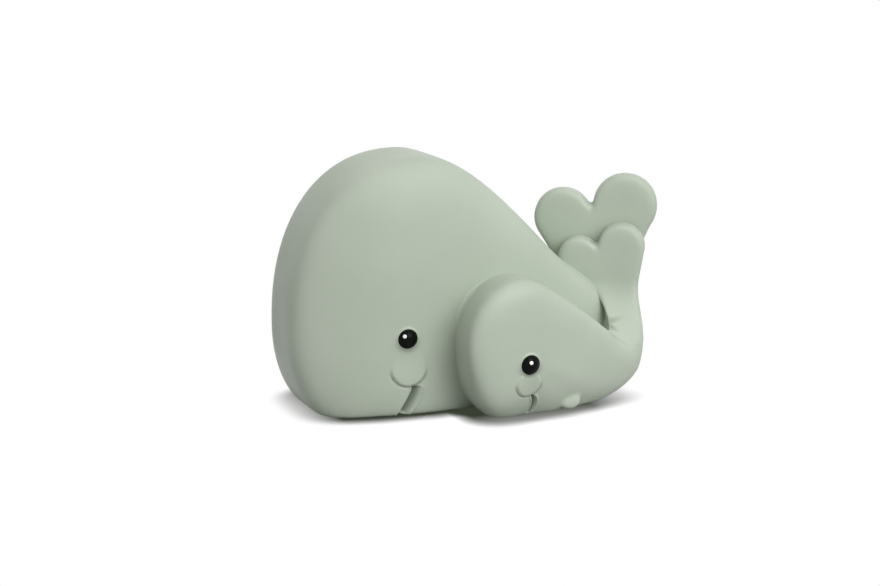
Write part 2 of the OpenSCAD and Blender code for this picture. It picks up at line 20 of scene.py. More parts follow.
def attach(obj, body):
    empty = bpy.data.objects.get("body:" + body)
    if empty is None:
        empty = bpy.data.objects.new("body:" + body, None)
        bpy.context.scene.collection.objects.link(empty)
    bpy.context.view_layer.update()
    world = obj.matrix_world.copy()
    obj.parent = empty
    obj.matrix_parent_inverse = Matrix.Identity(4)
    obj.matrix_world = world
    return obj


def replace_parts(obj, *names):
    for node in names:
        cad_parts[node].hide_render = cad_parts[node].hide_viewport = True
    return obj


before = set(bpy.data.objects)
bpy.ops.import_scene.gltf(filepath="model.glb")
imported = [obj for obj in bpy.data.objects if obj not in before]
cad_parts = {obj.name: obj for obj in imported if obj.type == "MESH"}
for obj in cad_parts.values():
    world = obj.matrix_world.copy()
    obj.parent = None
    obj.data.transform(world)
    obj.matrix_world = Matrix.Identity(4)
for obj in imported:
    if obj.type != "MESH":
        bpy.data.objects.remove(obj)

log = logging.getLogger("whale_teether")
MM = 0.001
FULL_TURN = 2.0 * math.pi
BODY = "root"
# Vertex attribute with the painted shade: darker colour in creases, folds and below the eyes.
PAINTED_SHADE = "painted_shade"
EVEN_PASSES = 4
DETAIL_PASSES = 3


class Side(Enum):
    """The two flanks of a whale: the near one faces -Y."""

    NEAR = -1.0
    FAR = 1.0


class Slot(Enum):
    """Names for the materials: the rubber and the eyes' black and white."""

    RUBBER = "rubber"
    BLACK = "eye_black"
    WHITE = "eye_white"


# Units, curves and shares

def lengths(**sizes: float) -> dict:
    """Returns named sizes in metres from the same in millimetres."""
    return {name: size * MM for name, size in sizes.items()}


def in_metres(*points: tuple) -> tuple:
    """Returns points of the side view in metres from the same in millimetres."""
    return tuple((x * MM, z * MM) for x, z in points)


def ease(t: np.ndarray) -> np.ndarray:
    """Returns a soft step from 0 to 1 as t goes from 0 to 1."""
    c = np.clip(t, 0.0, 1.0)
    return c * c * (3.0 - 2.0 * c)


def bump_at(distance: np.ndarray, width: float) -> np.ndarray:
    """Returns a soft bump of height 1 at distance 0 that is about two widths wide."""
    return np.exp(-((distance / width) ** 2))


def turn_between(dx: np.ndarray, dz: np.ndarray, heading: float) -> np.ndarray:
    """Returns the turn of directions in the side view from a heading, in degrees from -180 to 180."""
    return (np.degrees(np.arctan2(dz, dx)) - heading + 180.0) % 360.0 - 180.0


def bezier(points: np.ndarray, t: np.ndarray) -> np.ndarray:
    """Points on a cubic curve.

    Args:
        points: the four control points, one in each row.
        t: places along the curve, from 0 to 1.

    Returns:
        One row for each t.
    """
    t = np.asarray(t)[:, None]
    u = 1.0 - t
    return u**3 * points[0] + 3 * u * u * t * points[1] + 3 * u * t * t * points[2] + t**3 * points[3]


def quarter(middle: np.ndarray, start: np.ndarray, end: np.ndarray, square: float) -> np.ndarray:
    """A quarter round from start to end about a middle.

    Args:
        middle: the corner that both radii leave from.
        start: the first end.
        end: the last end.
        square: 2 gives an oval, more gives a squarer round.

    Returns:
        The points after start, in rows.
    """
    a = np.linspace(0.0, math.pi / 2, 41)[1:, None]
    cos, sin = np.clip(np.cos(a), 0.0, 1.0), np.sin(a)
    return middle + cos ** (2 / square) * (start - middle) + sin ** (2 / square) * (end - middle)


def round_trip(points: np.ndarray, turn: np.ndarray) -> np.ndarray:
    """Points at equal steps of length round a closed outline.

    Args:
        points: the outline's corners, in rows.
        turn: places round it, from 0 to 1.

    Returns:
        One row for each turn.
    """
    closed = np.vstack([points, points[:1]])
    run = np.concatenate([[0.0], np.cumsum(np.hypot(*np.diff(closed, axis=0).T))])
    place = np.mod(turn, 1.0) * run[-1]
    return np.column_stack([np.interp(place, run, closed[:, 0]), np.interp(place, run, closed[:, 1])])


# Mesh helpers

def read_points(verts: list) -> np.ndarray:
    """Returns the places of bmesh vertices, in rows."""
    return np.array([vert.co[:] for vert in verts])


def read_normals(bm: bmesh.types.BMesh) -> np.ndarray:
    """Returns the directions that the vertices face, in rows."""
    bm.normal_update()
    return np.array([vert.normal[:] for vert in bm.verts])


def write_points(verts: list, points: np.ndarray) -> None:
    """Moves bmesh vertices to the given rows."""
    for vert, point in zip(verts, points):
        vert.co = point


def write_painted_shade(bm: bmesh.types.BMesh, shade: np.ndarray) -> None:
    """Keeps the painted shade of each vertex, for the finish to read.

    Args:
        bm: the skin.
        shade: how much painted shade each vertex has, from 0 to 1.
    """
    layer = bm.verts.layers.float.new(PAINTED_SHADE)
    for vert, value in zip(bm.verts, shade):
        vert[layer] = value


def add_object(name: str, data: bpy.types.ID) -> bpy.types.Object:
    """Adds an object to the scene.

    Args:
        name: its name.
        data: its mesh, lamp or camera.

    Returns:
        The object.
    """
    item = bpy.data.objects.new(name, data)
    bpy.context.collection.objects.link(item)
    return item


def new_piece(name: str, bm: bmesh.types.BMesh, material: bpy.types.Material) -> bpy.types.Object:
    """Turns a bmesh into a smooth piece that rides on the toy.

    Args:
        name: the piece's name.
        bm: the finished bmesh, which is freed.
        material: the finish it wears.

    Returns:
        The new object.
    """
    mesh = bpy.data.meshes.new(name)
    bm.to_mesh(mesh)
    bm.free()
    mesh.materials.append(material)
    mesh.shade_smooth()
    piece = add_object(name, mesh)
    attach(piece, BODY)
    log.info("%s: %d faces", name, len(mesh.polygons))
    return piece


def fuse(bm: bmesh.types.BMesh, voxel: float) -> bmesh.types.BMesh:
    """Fuses overlapping closed shapes into one even skin.

    Args:
        bm: the shapes, which are freed.
        voxel: size of the new skin's faces.

    Returns:
        The fused skin.
    """
    mesh = bpy.data.meshes.new("shapes")
    bmesh.ops.recalc_face_normals(bm, faces=bm.faces)
    bm.to_mesh(mesh)
    bm.free()
    lump = add_object("shapes", mesh)
    remesh = lump.modifiers.new("fuse", "REMESH")
    remesh.mode = "VOXEL"
    remesh.voxel_size = voxel
    skin = bmesh.new()
    skin.from_object(lump, bpy.context.evaluated_depsgraph_get())
    bpy.data.objects.remove(lump)
    bpy.data.meshes.remove(mesh)
    return skin


def relax(bm: bmesh.types.BMesh, chosen: np.ndarray, passes: int) -> None:
    """Smooths the chosen vertices.

    Args:
        bm: the skin.
        chosen: one yes or no for each vertex.
        passes: how often the smoothing runs.
    """
    verts = [vert for vert, wanted in zip(bm.verts, chosen) if wanted]
    for _ in range(passes):
        bmesh.ops.smooth_vert(
            bm, verts=verts, factor=0.5, use_axis_x=True, use_axis_y=True, use_axis_z=True)


def refine(bm: bmesh.types.BMesh, chosen: np.ndarray) -> None:
    """Splits the faces round the chosen vertices into four.

    Args:
        bm: the skin.
        chosen: one yes or no for each vertex.
    """
    wanted = set(vert for vert, yes in zip(bm.verts, chosen) if yes)
    edges = [edge for edge in bm.edges if edge.verts[0] in wanted and edge.verts[1] in wanted]
    bmesh.ops.subdivide_edges(bm, edges=edges, cuts=1, use_grid_fill=True)


# Forms of the whales

@dataclass(frozen=True)
class WhaleForm:
    """Side view and thickness of a whale's body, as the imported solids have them.

    Lengths run forward (front, crown, chin, widest) or back (heel, rear) from the whale's own place. A
    square is 2 for an oval section and more for a flatter flank. Each local square has the heading in the
    side view, in degrees up from the tail, where it holds, and its spread. The lead is how far the near side
    stands out before the far side round its own heading.
    """

    place: float
    front: float
    front_z: float
    crown: float
    height: float
    chin: float
    heel: float
    rear: float
    rear_z: float
    back_level: float
    back_run: float
    back_slope: float
    brow_square: float
    foot_cut: float
    snout_half: float
    half: float
    rump_half: float
    widest: float
    middle_y: float = 0.0
    rump_shift: float = 0.0
    hip: float = 0.0
    hip_at: float = 0.5
    hip_long: float = 1.0
    chin_square: float = 2.0
    heel_square: float = 2.0
    near_square: float = 5.5
    far_square: float = 5.5
    local_squares: tuple = ()
    lead: float = 0.0
    lead_heading: float = 155.0
    lead_spread: float = 55.0

    @property
    def core(self) -> np.ndarray:
        """The point of the side view that the flanks swell from."""
        return np.array([self.place - self.crown, self.front_z])

    def back(self) -> np.ndarray:
        """Lays out the back.

        Returns:
            The curve's control points, from the crown to the rear, in rows of x and z.
        """
        crown = np.array([self.place - self.crown, self.height])
        rear = np.array([self.place + self.rear, self.rear_z])
        slope = math.radians(self.back_slope)
        climb = self.back_run * np.array([-math.cos(slope), math.sin(slope)])
        return np.array([crown, crown + [self.back_level, 0.0], rear + climb, rear])

    def back_line(self, t: np.ndarray) -> np.ndarray:
        """Follows the back with its hip.

        Args:
            t: places along it, from 0 at the crown to 1 at the rear.

        Returns:
            Points in rows of x and z.
        """
        back = self.back()
        way = bezier(back, t + 0.01) - bezier(back, t - 0.01)
        out = np.column_stack([-way[:, 1], way[:, 0]]) / np.hypot(*way.T)[:, None]
        return bezier(back, t) + self.hip * bump_at(t - self.hip_at, self.hip_long)[:, None] * out

    def square_at(self, dx: np.ndarray, dz: np.ndarray, near: np.ndarray) -> np.ndarray:
        """Finds how square the section is along directions in the side view.

        Args:
            dx: their reach along X.
            dz: their rise.
            near: yes on the near side and no on the far one.

        Returns:
            One square for each.
        """
        flank = np.where(near, self.near_square, self.far_square)
        square = flank.copy()
        for local, heading, spread in self.local_squares:
            square += (local - flank) * bump_at(turn_between(dx, dz, heading), spread)
        return square

    def outline(self) -> np.ndarray:
        """Draws the side view from the chin over the brow and the back to the heel.

        Returns:
            Its corners, in rows of x and z.
        """
        back = self.back()
        crown, rear = back[0], back[3]
        chin = np.array([self.place - self.chin, -self.foot_cut])
        front = np.array([self.place - self.front, self.front_z])
        heel = np.array([self.place + self.heel, -self.foot_cut])
        return np.vstack([
            quarter(np.array([chin[0], front[1]]), chin, front, self.chin_square),
            quarter(np.array([crown[0], front[1]]), front, crown, self.brow_square),
            self.back_line(np.linspace(0.0, 1.0, 81)[1:]),
            quarter(np.array([heel[0], rear[1]]), rear, heel, self.heel_square),
            np.linspace(heel, chin, 21)[1:],
        ])

    def half_at(self, x: np.ndarray) -> np.ndarray:
        """Finds the half thickness.

        Args:
            x: places along the toy.

        Returns:
            One for each place.
        """
        front, widest, rear = self.place - self.front, self.place - self.widest, self.place + self.rear
        head = np.sin(math.pi / 2 * np.clip((x - front) / (widest - front), 0.0, 1.0))
        tail = ease((x - widest) / (rear - widest))
        return np.where(
            x < widest,
            self.snout_half + (self.half - self.snout_half) * head,
            self.half + (self.rump_half - self.half) * tail,
        )

    def spine_at(self, x: np.ndarray) -> np.ndarray:
        """Returns the Y of the middle plane at each x."""
        widest, rear = self.place - self.widest, self.place + self.rear
        return self.middle_y + self.rump_shift * ease((x - widest) / (rear - widest))

    def share_at(self, x: np.ndarray, z: np.ndarray) -> np.ndarray:
        """Finds how far out places lie.

        Args:
            x: places along the toy.
            z: their heights.

        Returns:
            0 at the core to 1 on the outline, for each place.
        """
        rim = self.outline() - self.core
        angle = np.arctan2(rim[:, 1], rim[:, 0])
        order = np.argsort(angle)
        dx, dz = x - self.core[0], z - self.core[1]
        length = np.hypot(*rim[order].T)
        return np.hypot(dx, dz) / np.interp(np.arctan2(dz, dx), angle[order], length, period=FULL_TURN)

    def flank_y(self, x: np.ndarray, z: np.ndarray) -> np.ndarray:
        """Finds the near flank.

        Args:
            x: places along the toy.
            z: their heights.

        Returns:
            Its Y at each place.
        """
        share = np.clip(self.share_at(x, z), 0.0, 1.0)
        square = self.square_at(x - self.core[0], z - self.core[1], np.full(np.shape(x), True))
        swell = (1.0 - share**square) ** (1.0 / square)
        return self.spine_at(x) - self.half_at(x) * swell

    def add_to(self, bm: bmesh.types.BMesh, rounds: int) -> None:
        """Adds the body to a bmesh as a ball that is drawn out to its form.

        Args:
            bm: the bmesh.
            rounds: faces round the ball.
        """
        def lay(x: np.ndarray, z: np.ndarray, rise: np.ndarray) -> np.ndarray:
            """Lays places of the side view.

            Args:
                x: places along the toy.
                z: their heights.
                rise: -1 on the near flank to 1 on the far one.

            Returns:
                One point for each, in rows.
            """
            dx, dz = x - self.core[0], z - self.core[1]
            fore = bump_at(turn_between(dx, dz, self.lead_heading), self.lead_spread)
            ahead = self.lead / (self.front - self.crown) * fore * (1.0 - rise) / 2
            y = self.spine_at(x) + rise * self.half_at(x)
            return np.column_stack([x + ahead * dx, y, z + ahead * dz])

        add_pillow(bm, rounds, self.outline(), self.core, self.square_at, lay)


def add_pillow(bm: bmesh.types.BMesh, rounds: int, outline: np.ndarray, middle: np.ndarray,
               square_at: Callable, lay: Callable) -> None:
    """Adds a ball that is drawn out to an outline in the side view.

    Args:
        bm: the bmesh.
        rounds: faces round the ball.
        outline: corners of the outline, in rows of x and z.
        middle: the point of the side view where both flanks are fullest.
        square_at: gives how square the section is along directions in the side view, near or far.
        lay: gives points from x, z and the rise from -1 on the near flank to 1 on the far one.
    """
    ball = bmesh.ops.create_uvsphere(bm, u_segments=rounds, v_segments=rounds // 2, radius=1.0)["verts"]
    unit = read_points(ball)
    spoke = round_trip(outline, np.arctan2(unit[:, 1], unit[:, 0]) / FULL_TURN) - middle
    square = square_at(spoke[:, 0], spoke[:, 1], unit[:, 2] < 0.0)
    latitude = np.abs(np.arcsin(np.clip(unit[:, 2], -1.0, 1.0))) / (math.pi / 2)
    polar = math.pi / 2 * (1.0 - latitude) ** 2.25
    share = np.sin(polar) ** (2 / square)
    rise = np.sign(unit[:, 2]) * np.clip(np.cos(polar), 0.0, 1.0) ** (2 / square)
    x, z = (middle + share[:, None] * spoke).T
    points = lay(x, z, rise)
    points[:, 2] = np.maximum(points[:, 2], 0.0)
    write_points(ball, points)


@dataclass(frozen=True)
class TailForm:
    """A tail: two lobes on a stem that grows out of the back, shifts sideways and turns with height."""

    fore_r: float
    rear_r: float
    notch_r: float
    lobe_half: float
    middle_x: float
    middle_z: float
    lean: float
    thickness: float
    core_drop: float
    shift: float
    turn: float
    bend_low: float
    bend_top: float
    root_from: float
    root_to: float
    fore_waist: float
    rear_waist: float
    fore_wrap: float
    rear_wrap: float
    square: float = 7.0
    sink: float = 5.0 * MM

    @property
    def middle(self) -> np.ndarray:
        """The point between the lobes, in the side view."""
        return np.array([self.middle_x, self.middle_z])

    @property
    def along(self) -> np.ndarray:
        """The direction from the fore lobe to the rear lobe."""
        return np.array([math.cos(math.radians(self.lean)), math.sin(math.radians(self.lean))])

    @property
    def up(self) -> np.ndarray:
        """The direction from the stem to the notch."""
        return np.array([-self.along[1], self.along[0]])

    @staticmethod
    def rim(middle: np.ndarray, radius: float, degrees: np.ndarray) -> np.ndarray:
        """Returns points on a round at each angle."""
        a = np.radians(np.atleast_1d(degrees))
        return middle + radius * np.column_stack([np.cos(a), np.sin(a)])

    @staticmethod
    def tangent(point: np.ndarray, lobe: np.ndarray, radius: float, side: float) -> float:
        """Returns the angle at which a line from a point touches a lobe."""
        dx, dz = point - lobe
        return math.degrees(math.atan2(dz, dx) + side * math.acos(radius / math.hypot(dx, dz)))

    @staticmethod
    def flank(root: np.ndarray, lobe: np.ndarray, waist: float) -> np.ndarray:
        """Draws a side that is hollowed most half way.

        Args:
            root: its start.
            lobe: its end, on a lobe.
            waist: how deep it is hollowed.

        Returns:
            Points in rows of x and z.
        """
        way = lobe - root
        run = way / np.hypot(*way)
        t = np.linspace(0.0, 1.0, 31)[:, None]
        return root + t * way + 4 * t * (1 - t) * waist * np.array([run[1], -run[0]])

    def outline(self, back: np.ndarray) -> np.ndarray:
        """The tail's side view.

        Args:
            back: control points of the back that it grows from.

        Returns:
            The outline's corners, in rows of x and z.
        """
        top, low = bezier(back, [self.root_from, self.root_to])
        half, fore_out, rear_out = self.lobe_half, self.fore_r + self.notch_r, self.rear_r + self.notch_r
        fore, rear = self.middle - half * self.along, self.middle + half * self.along
        aside = (fore_out**2 - rear_out**2) / (4 * half)
        above = math.sqrt(fore_out**2 - (half + aside) ** 2)
        notch = self.middle + aside * self.along + above * self.up
        fore_to = self.lean + math.degrees(math.atan2(above, half + aside))
        rear_from = self.lean + 180.0 - math.degrees(math.atan2(above, half - aside))
        fore_from = self.tangent(top, fore, self.fore_r, -1.0) % 360.0 + self.fore_wrap
        rear_to = (self.tangent(low, rear, self.rear_r, 1.0) + 180.0) % 360.0 - 180.0 - self.rear_wrap
        fore_end = self.rim(fore, self.fore_r, fore_from)[0]
        rear_end = self.rim(rear, self.rear_r, rear_to)[0]
        deep_top = top + self.sink * (top - fore_end) / np.hypot(*(top - fore_end))
        deep_low = low + self.sink * (low - rear_end) / np.hypot(*(low - rear_end))
        return np.vstack([
            self.rim(fore, self.fore_r, np.linspace(fore_from, fore_to, 60)),
            self.rim(notch, self.notch_r, np.linspace(fore_to + 180.0, rear_from + 180.0, 20))[1:-1],
            self.rim(rear, self.rear_r, np.linspace(rear_from, rear_to, 60)),
            self.flank(deep_low, rear_end, -self.rear_waist)[::-1],
            self.flank(deep_top, fore_end, self.fore_waist)[:-1],
        ])

    def add_to(self, bm: bmesh.types.BMesh, whale: WhaleForm, rounds: int) -> None:
        """Adds the tail to a bmesh.

        Args:
            bm: the bmesh.
            whale: the whale that it grows from.
            rounds: faces round the ball that it is drawn from.
        """
        root_y = whale.middle_y + whale.rump_shift

        def lay(x: np.ndarray, z: np.ndarray, rise: np.ndarray) -> np.ndarray:
            """Lays places of the side view.

            Args:
                x: places along the toy.
                z: their heights.
                rise: -1 on the near flank to 1 on the far one.

            Returns:
                One point for each, in rows.
            """
            share = ease((z - self.bend_low) / (self.bend_top - self.bend_low))
            turn = math.radians(self.turn) * share
            dx, dy = x - self.middle_x, rise * self.thickness / 2
            return np.column_stack([
                self.middle_x + dx * np.cos(turn) + dy * np.sin(turn),
                root_y + self.shift * share - dx * np.sin(turn) + dy * np.cos(turn),
                z,
            ])

        core = self.middle - self.core_drop * self.up
        outline = self.outline(whale.back())
        add_pillow(bm, rounds, outline, core, lambda dx, dz, near: np.full(len(dx), self.square), lay)


@dataclass(frozen=True)
class EyeForm:
    """A bead eye in its socket, the white spot on it and the painted shadow below it."""

    x: float
    z: float
    diameter: float
    spot_turn: float
    spot_heading: float
    collar: float = 0.28 * MM
    collar_width: float = 0.55 * MM
    # reach of the painted shadow below the bead
    hollow: float = 1.1 * MM
    dome: float = 1.65 * MM
    seat: float = 1.2 * MM
    spot_diameter: float = 1.12 * MM

    @property
    def ball(self) -> float:
        """Radius of the ball that the dome is cut from."""
        return (self.diameter**2 / 4 + self.dome**2) / (2 * self.dome)

    def height(self, x: np.ndarray, z: np.ndarray) -> np.ndarray:
        """Returns how far the skin stands out in the collar round the eye, which is fuller above it."""
        fullness = 0.3 + 0.7 * ease((z - self.z) / self.diameter + 0.5)
        return self.collar * fullness * (1.0 - ease(self.gap(x, z) / self.collar_width))

    def gap(self, x: np.ndarray, z: np.ndarray) -> np.ndarray:
        """Returns how far each place is from the bead."""
        return np.hypot(x - self.x, z - self.z) - self.diameter / 2

    def shade(self, x: np.ndarray, z: np.ndarray) -> np.ndarray:
        """Returns the painted shadow on the skin below the bead, from 0 to 1."""
        below = ease((self.z - z) / self.diameter + 0.25)
        return below * bump_at(np.maximum(self.gap(x, z), 0.0), self.hollow)


@dataclass(frozen=True)
class CheekForm:
    """A cheek pad that leaves the face below the lid and ends in a round edge with a crease under it."""

    x: float
    z: float
    radius: float
    out: float
    lid_x: float
    lid_z: float
    lid_r: float
    lid_fade: float
    crease_top: float
    crease_fade: float
    edge: float = 0.9 * MM
    groove: float = 0.3 * MM
    groove_width: float = 0.34 * MM

    def inside(self, x: np.ndarray, z: np.ndarray) -> np.ndarray:
        """Returns 1 on the pad and 0 beside it."""
        return ease((self.radius - np.hypot(x - self.x, z - self.z)) / self.edge)

    def swell(self, x: np.ndarray, z: np.ndarray) -> np.ndarray:
        """Returns how far the pad has come out, from 0 at the lid to 1."""
        return ease((np.hypot(x - self.lid_x, z - self.lid_z) - self.lid_r) / self.lid_fade)

    def crease(self, x: np.ndarray, z: np.ndarray) -> np.ndarray:
        """Returns 1 in the crease under the pad and 0 beside it."""
        away = np.hypot(x - self.x, z - self.z) - self.radius
        return bump_at(away, self.groove_width) * ease((self.crease_top - z) / self.crease_fade)

    def height(self, x: np.ndarray, z: np.ndarray) -> np.ndarray:
        """Returns how far the skin stands out."""
        return self.out * self.swell(x, z) * self.inside(x, z) - self.groove * self.crease(x, z)


@dataclass(frozen=True)
class MouthForm:
    """A mouth groove between two edges, steep at its fore edge and easy at its rear edge."""

    fore: tuple
    rear: tuple
    depth: float
    end_z: float
    top_fade: float = 0.6 * MM
    end_fade: float = 0.5 * MM
    steep: float = 0.16
    easy: float = 0.8
    rim: float = 0.28 * MM
    rim_width: float = 0.28 * MM
    rim_gap: float = 0.25 * MM

    @staticmethod
    def edge_x(points: tuple, z: np.ndarray) -> np.ndarray:
        """Returns the x of an edge at each height. The points run down, in x and z."""
        run = bezier(np.array(points), np.linspace(0.0, 1.0, 40))[::-1]
        return np.interp(z, run[:, 1], run[:, 0])

    def across(self, x: np.ndarray, z: np.ndarray) -> np.ndarray:
        """Returns the place between the edges: 0 on the fore edge and 1 on the rear edge."""
        fore, rear = self.edge_x(self.fore, z), self.edge_x(self.rear, z)
        return (x - fore) / (rear - fore)

    def along(self, z: np.ndarray) -> np.ndarray:
        """Returns 1 along the groove and 0 above and below it."""
        return ease((self.fore[0][1] - z) / self.top_fade) * ease((z - self.end_z) / self.end_fade)

    def hollow(self, x: np.ndarray, z: np.ndarray) -> np.ndarray:
        """Returns how deep in the groove each place is, from 0 to 1."""
        across = self.across(x, z)
        return self.along(z) * ease(across / self.steep) * ease((1.0 - across) / self.easy)

    def height(self, x: np.ndarray, z: np.ndarray) -> np.ndarray:
        """Finds how far the skin stands out: inwards in the groove, out on its rims.

        Args:
            x: places along the toy.
            z: their heights.

        Returns:
            One height for each place.
        """
        fore, rear = self.edge_x(self.fore, z), self.edge_x(self.rear, z)
        fore_rim = bump_at(x - fore + self.rim_gap, self.rim_width)
        rear_rim = bump_at(x - rear - self.rim_gap, self.rim_width)
        return self.rim * (fore_rim + rear_rim) * self.along(z) - self.depth * self.hollow(x, z)


@dataclass(frozen=True)
class FaceForm:
    """The features of one side of a face."""

    eye: EyeForm
    cheek: CheekForm
    mouth: MouthForm
    # Shares of painted shade in the cheek's crease, in the mouth and below the eye.
    painted_crease_shade: float = 0.4
    painted_mouth_shade: float = 0.85
    painted_eye_shadow: float = 0.6
    mouth_reach: float = 3.0 * MM

    def height(self, x: np.ndarray, z: np.ndarray) -> np.ndarray:
        """Returns how far the skin stands out at each place of the side view."""
        pad = self.cheek.inside(x, z) * self.cheek.swell(x, z)
        return self.eye.height(x, z) + self.cheek.height(x, z) + (1.0 - pad) * self.mouth.height(x, z)

    def shade(self, x: np.ndarray, z: np.ndarray) -> np.ndarray:
        """Finds the painted shade in the creases and below the eye.

        Args:
            x: places along the toy.
            z: their heights.

        Returns:
            0 to 1 for each place.
        """
        pad = self.cheek.inside(x, z) * self.cheek.swell(x, z)
        crease = self.painted_crease_shade * self.cheek.crease(x, z)
        deep = np.maximum(crease, self.painted_mouth_shade * self.mouth.hollow(x, z))
        return np.maximum((1.0 - pad) * deep, self.painted_eye_shadow * self.eye.shade(x, z))

    def near(self, x: np.ndarray, z: np.ndarray, margin: float) -> np.ndarray:
        """Chooses what lies close to the face's features.

        Args:
            x: places along the toy.
            z: their heights.
            margin: how close.

        Returns:
            One yes or no for each place.
        """
        pad = np.abs(np.hypot(x - self.cheek.x, z - self.cheek.z) - self.cheek.radius) < margin
        eye = np.hypot(x - self.eye.x, z - self.eye.z) < self.eye.diameter / 2 + margin
        beside = np.abs(x - self.mouth.fore[1][0]) < self.mouth_reach + margin
        return pad | eye | (beside & (z < self.cheek.z - 0.7 * self.cheek.radius))


@dataclass(frozen=True)
class Fold:
    """A short groove in the skin that fades from its start to its end, in x and z of the side view."""

    start: tuple
    end: tuple
    depth: float = 0.6 * MM
    width: float = 0.55 * MM

    def share(self, x: np.ndarray, z: np.ndarray) -> np.ndarray:
        """Finds how deep in the fold places are.

        Args:
            x: places along the toy.
            z: their heights.

        Returns:
            0 to 1 for each place.
        """
        way = np.subtract(self.end, self.start)
        dx, dz = x - self.start[0], z - self.start[1]
        along = np.clip((dx * way[0] + dz * way[1]) / way.dot(way), 0.0, 1.0)
        away = np.hypot(dx - along * way[0], dz - along * way[1])
        return bump_at(away, self.width) * (1.0 - ease(along))


# Finishes

class NodeBench:
    """A node tree with short ways to add and link nodes."""

    def __init__(self, tree: bpy.types.NodeTree) -> None:
        """Keeps the tree."""
        self.tree = tree

    def add(self, kind: str, **settings: object) -> bpy.types.Node:
        """Adds a node.

        Args:
            kind: the node's type.
            **settings: its properties.

        Returns:
            The node.
        """
        node = self.tree.nodes.new(kind)
        for key, value in settings.items():
            setattr(node, key, value)
        return node

    def feed(self, value: object, target: bpy.types.NodeSocket) -> None:
        """Links a socket to an input, or writes a plain value into it.

        Args:
            value: a socket, a number or a colour.
            target: the input.
        """
        if isinstance(value, bpy.types.NodeSocket):
            self.tree.links.new(value, target)
        else:
            target.default_value = value

    def fill(self, node: bpy.types.Node, values: dict) -> None:
        """Feeds inputs of a node by their names."""
        for name, value in values.items():
            self.feed(value, node.inputs[name])

    def noise(self, place: bpy.types.NodeSocket, scale: object, detail: float) -> bpy.types.NodeSocket:
        """Adds a noise.

        Args:
            place: the coordinates.
            scale: waves a metre, a number or a socket.
            detail: how fine it goes.

        Returns:
            Its value.
        """
        node = self.add("ShaderNodeTexNoise")
        self.fill(node, {"Vector": place, "Scale": scale, "Detail": detail})
        return node.outputs["Fac"]

    def spread(self, value: bpy.types.NodeSocket, low: float, high: float, to_low: float,
               to_high: float) -> bpy.types.NodeSocket:
        """Maps a value from one range to another.

        Args:
            value: the value.
            low: start of its range.
            high: end of its range.
            to_low: what the start becomes.
            to_high: what the end becomes.

        Returns:
            The new value.
        """
        node = self.add("ShaderNodeMapRange")
        ends = {"From Min": low, "From Max": high, "To Min": to_low, "To Max": to_high}
        self.fill(node, {"Value": value} | ends)
        return node.outputs["Result"]

    def math(self, operation: str, first: bpy.types.NodeSocket, second: object) -> bpy.types.NodeSocket:
        """Works out one value from two.

        Args:
            operation: what is done with them.
            first: a socket.
            second: a socket or a number.

        Returns:
            The result.
        """
        node = self.add("ShaderNodeMath", operation=operation)
        self.feed(first, node.inputs[0])
        self.feed(second, node.inputs[1])
        return node.outputs[0]

    def seen_directly(self) -> bpy.types.NodeSocket:
        """Tells what looks straight at a surface.

        Returns:
            1 for the camera and for mirror and glass, and 0 for the light that a surface passes on.
        """
        path = self.add("ShaderNodeLightPath")
        seen = self.math("MAXIMUM", path.outputs["Is Camera Ray"], path.outputs["Is Transmission Ray"])
        return self.math("MAXIMUM", seen, path.outputs["Is Glossy Ray"])

    def blend(self, factor: bpy.types.NodeSocket, first: object, second: object) -> bpy.types.NodeSocket:
        """Mixes two colours.

        Args:
            factor: 0 for the first and 1 for the second.
            first: a socket or a colour.
            second: a socket or a colour.

        Returns:
            The mix.
        """
        node = self.add("ShaderNodeMix", data_type="RGBA")
        self.feed(factor, node.inputs["Factor"])
        self.feed(first, node.inputs[6])
        self.feed(second, node.inputs[7])
        return node.outputs[2]


def surface_group() -> bpy.types.NodeTree:
    """The unevenness of a moulded surface: broad clouds, small specks and a fine grain.

    Returns:
        A group with the outputs Cloud, Speck and Height.
    """
    tree = bpy.data.node_groups.new("moulded_surface", "ShaderNodeTree")
    sizes = {"Cloud Scale": 40.0, "Speck Scale": 110.0, "Speck Size": 0.03, "Grain Scale": 1800.0}
    speck_rarity, speck_depth = 0.72, 0.3
    wave_scale, grain_height = 130.0, 0.25
    for name, value in sizes.items():
        socket = tree.interface.new_socket(name, in_out="INPUT", socket_type="NodeSocketFloat")
        socket.default_value = value
    for name in ("Cloud", "Speck", "Height"):
        tree.interface.new_socket(name, in_out="OUTPUT", socket_type="NodeSocketFloat")
    bench = NodeBench(tree)
    given = bench.add("NodeGroupInput").outputs
    place = bench.add("ShaderNodeTexCoord").outputs["Object"]
    cloud = bench.noise(place, given["Cloud Scale"], 3.0)

    cells = bench.add("ShaderNodeTexVoronoi")
    bench.fill(cells, {"Vector": place, "Scale": given["Speck Scale"]})
    pick = bench.add("ShaderNodeSeparateColor")
    bench.feed(cells.outputs["Color"], pick.inputs["Color"])
    few = bench.math("GREATER_THAN", pick.outputs["Red"], speck_rarity)
    size = bench.math("MULTIPLY", given["Speck Size"], pick.outputs["Green"])
    close = bench.math("LESS_THAN", cells.outputs["Distance"], size)
    speck = bench.math("MULTIPLY", few, close)

    grain = bench.math("MULTIPLY", bench.noise(place, given["Grain Scale"], 2.0), grain_height)
    relief = bench.math("ADD", grain, bench.noise(place, wave_scale, 1.0))
    height = bench.math("SUBTRACT", relief, bench.math("MULTIPLY", speck, speck_depth))
    bench.fill(bench.add("NodeGroupOutput"), {
        "Cloud": bench.spread(cloud, 0.3, 0.7, 0.0, 1.0), "Speck": speck, "Height": height})
    return tree


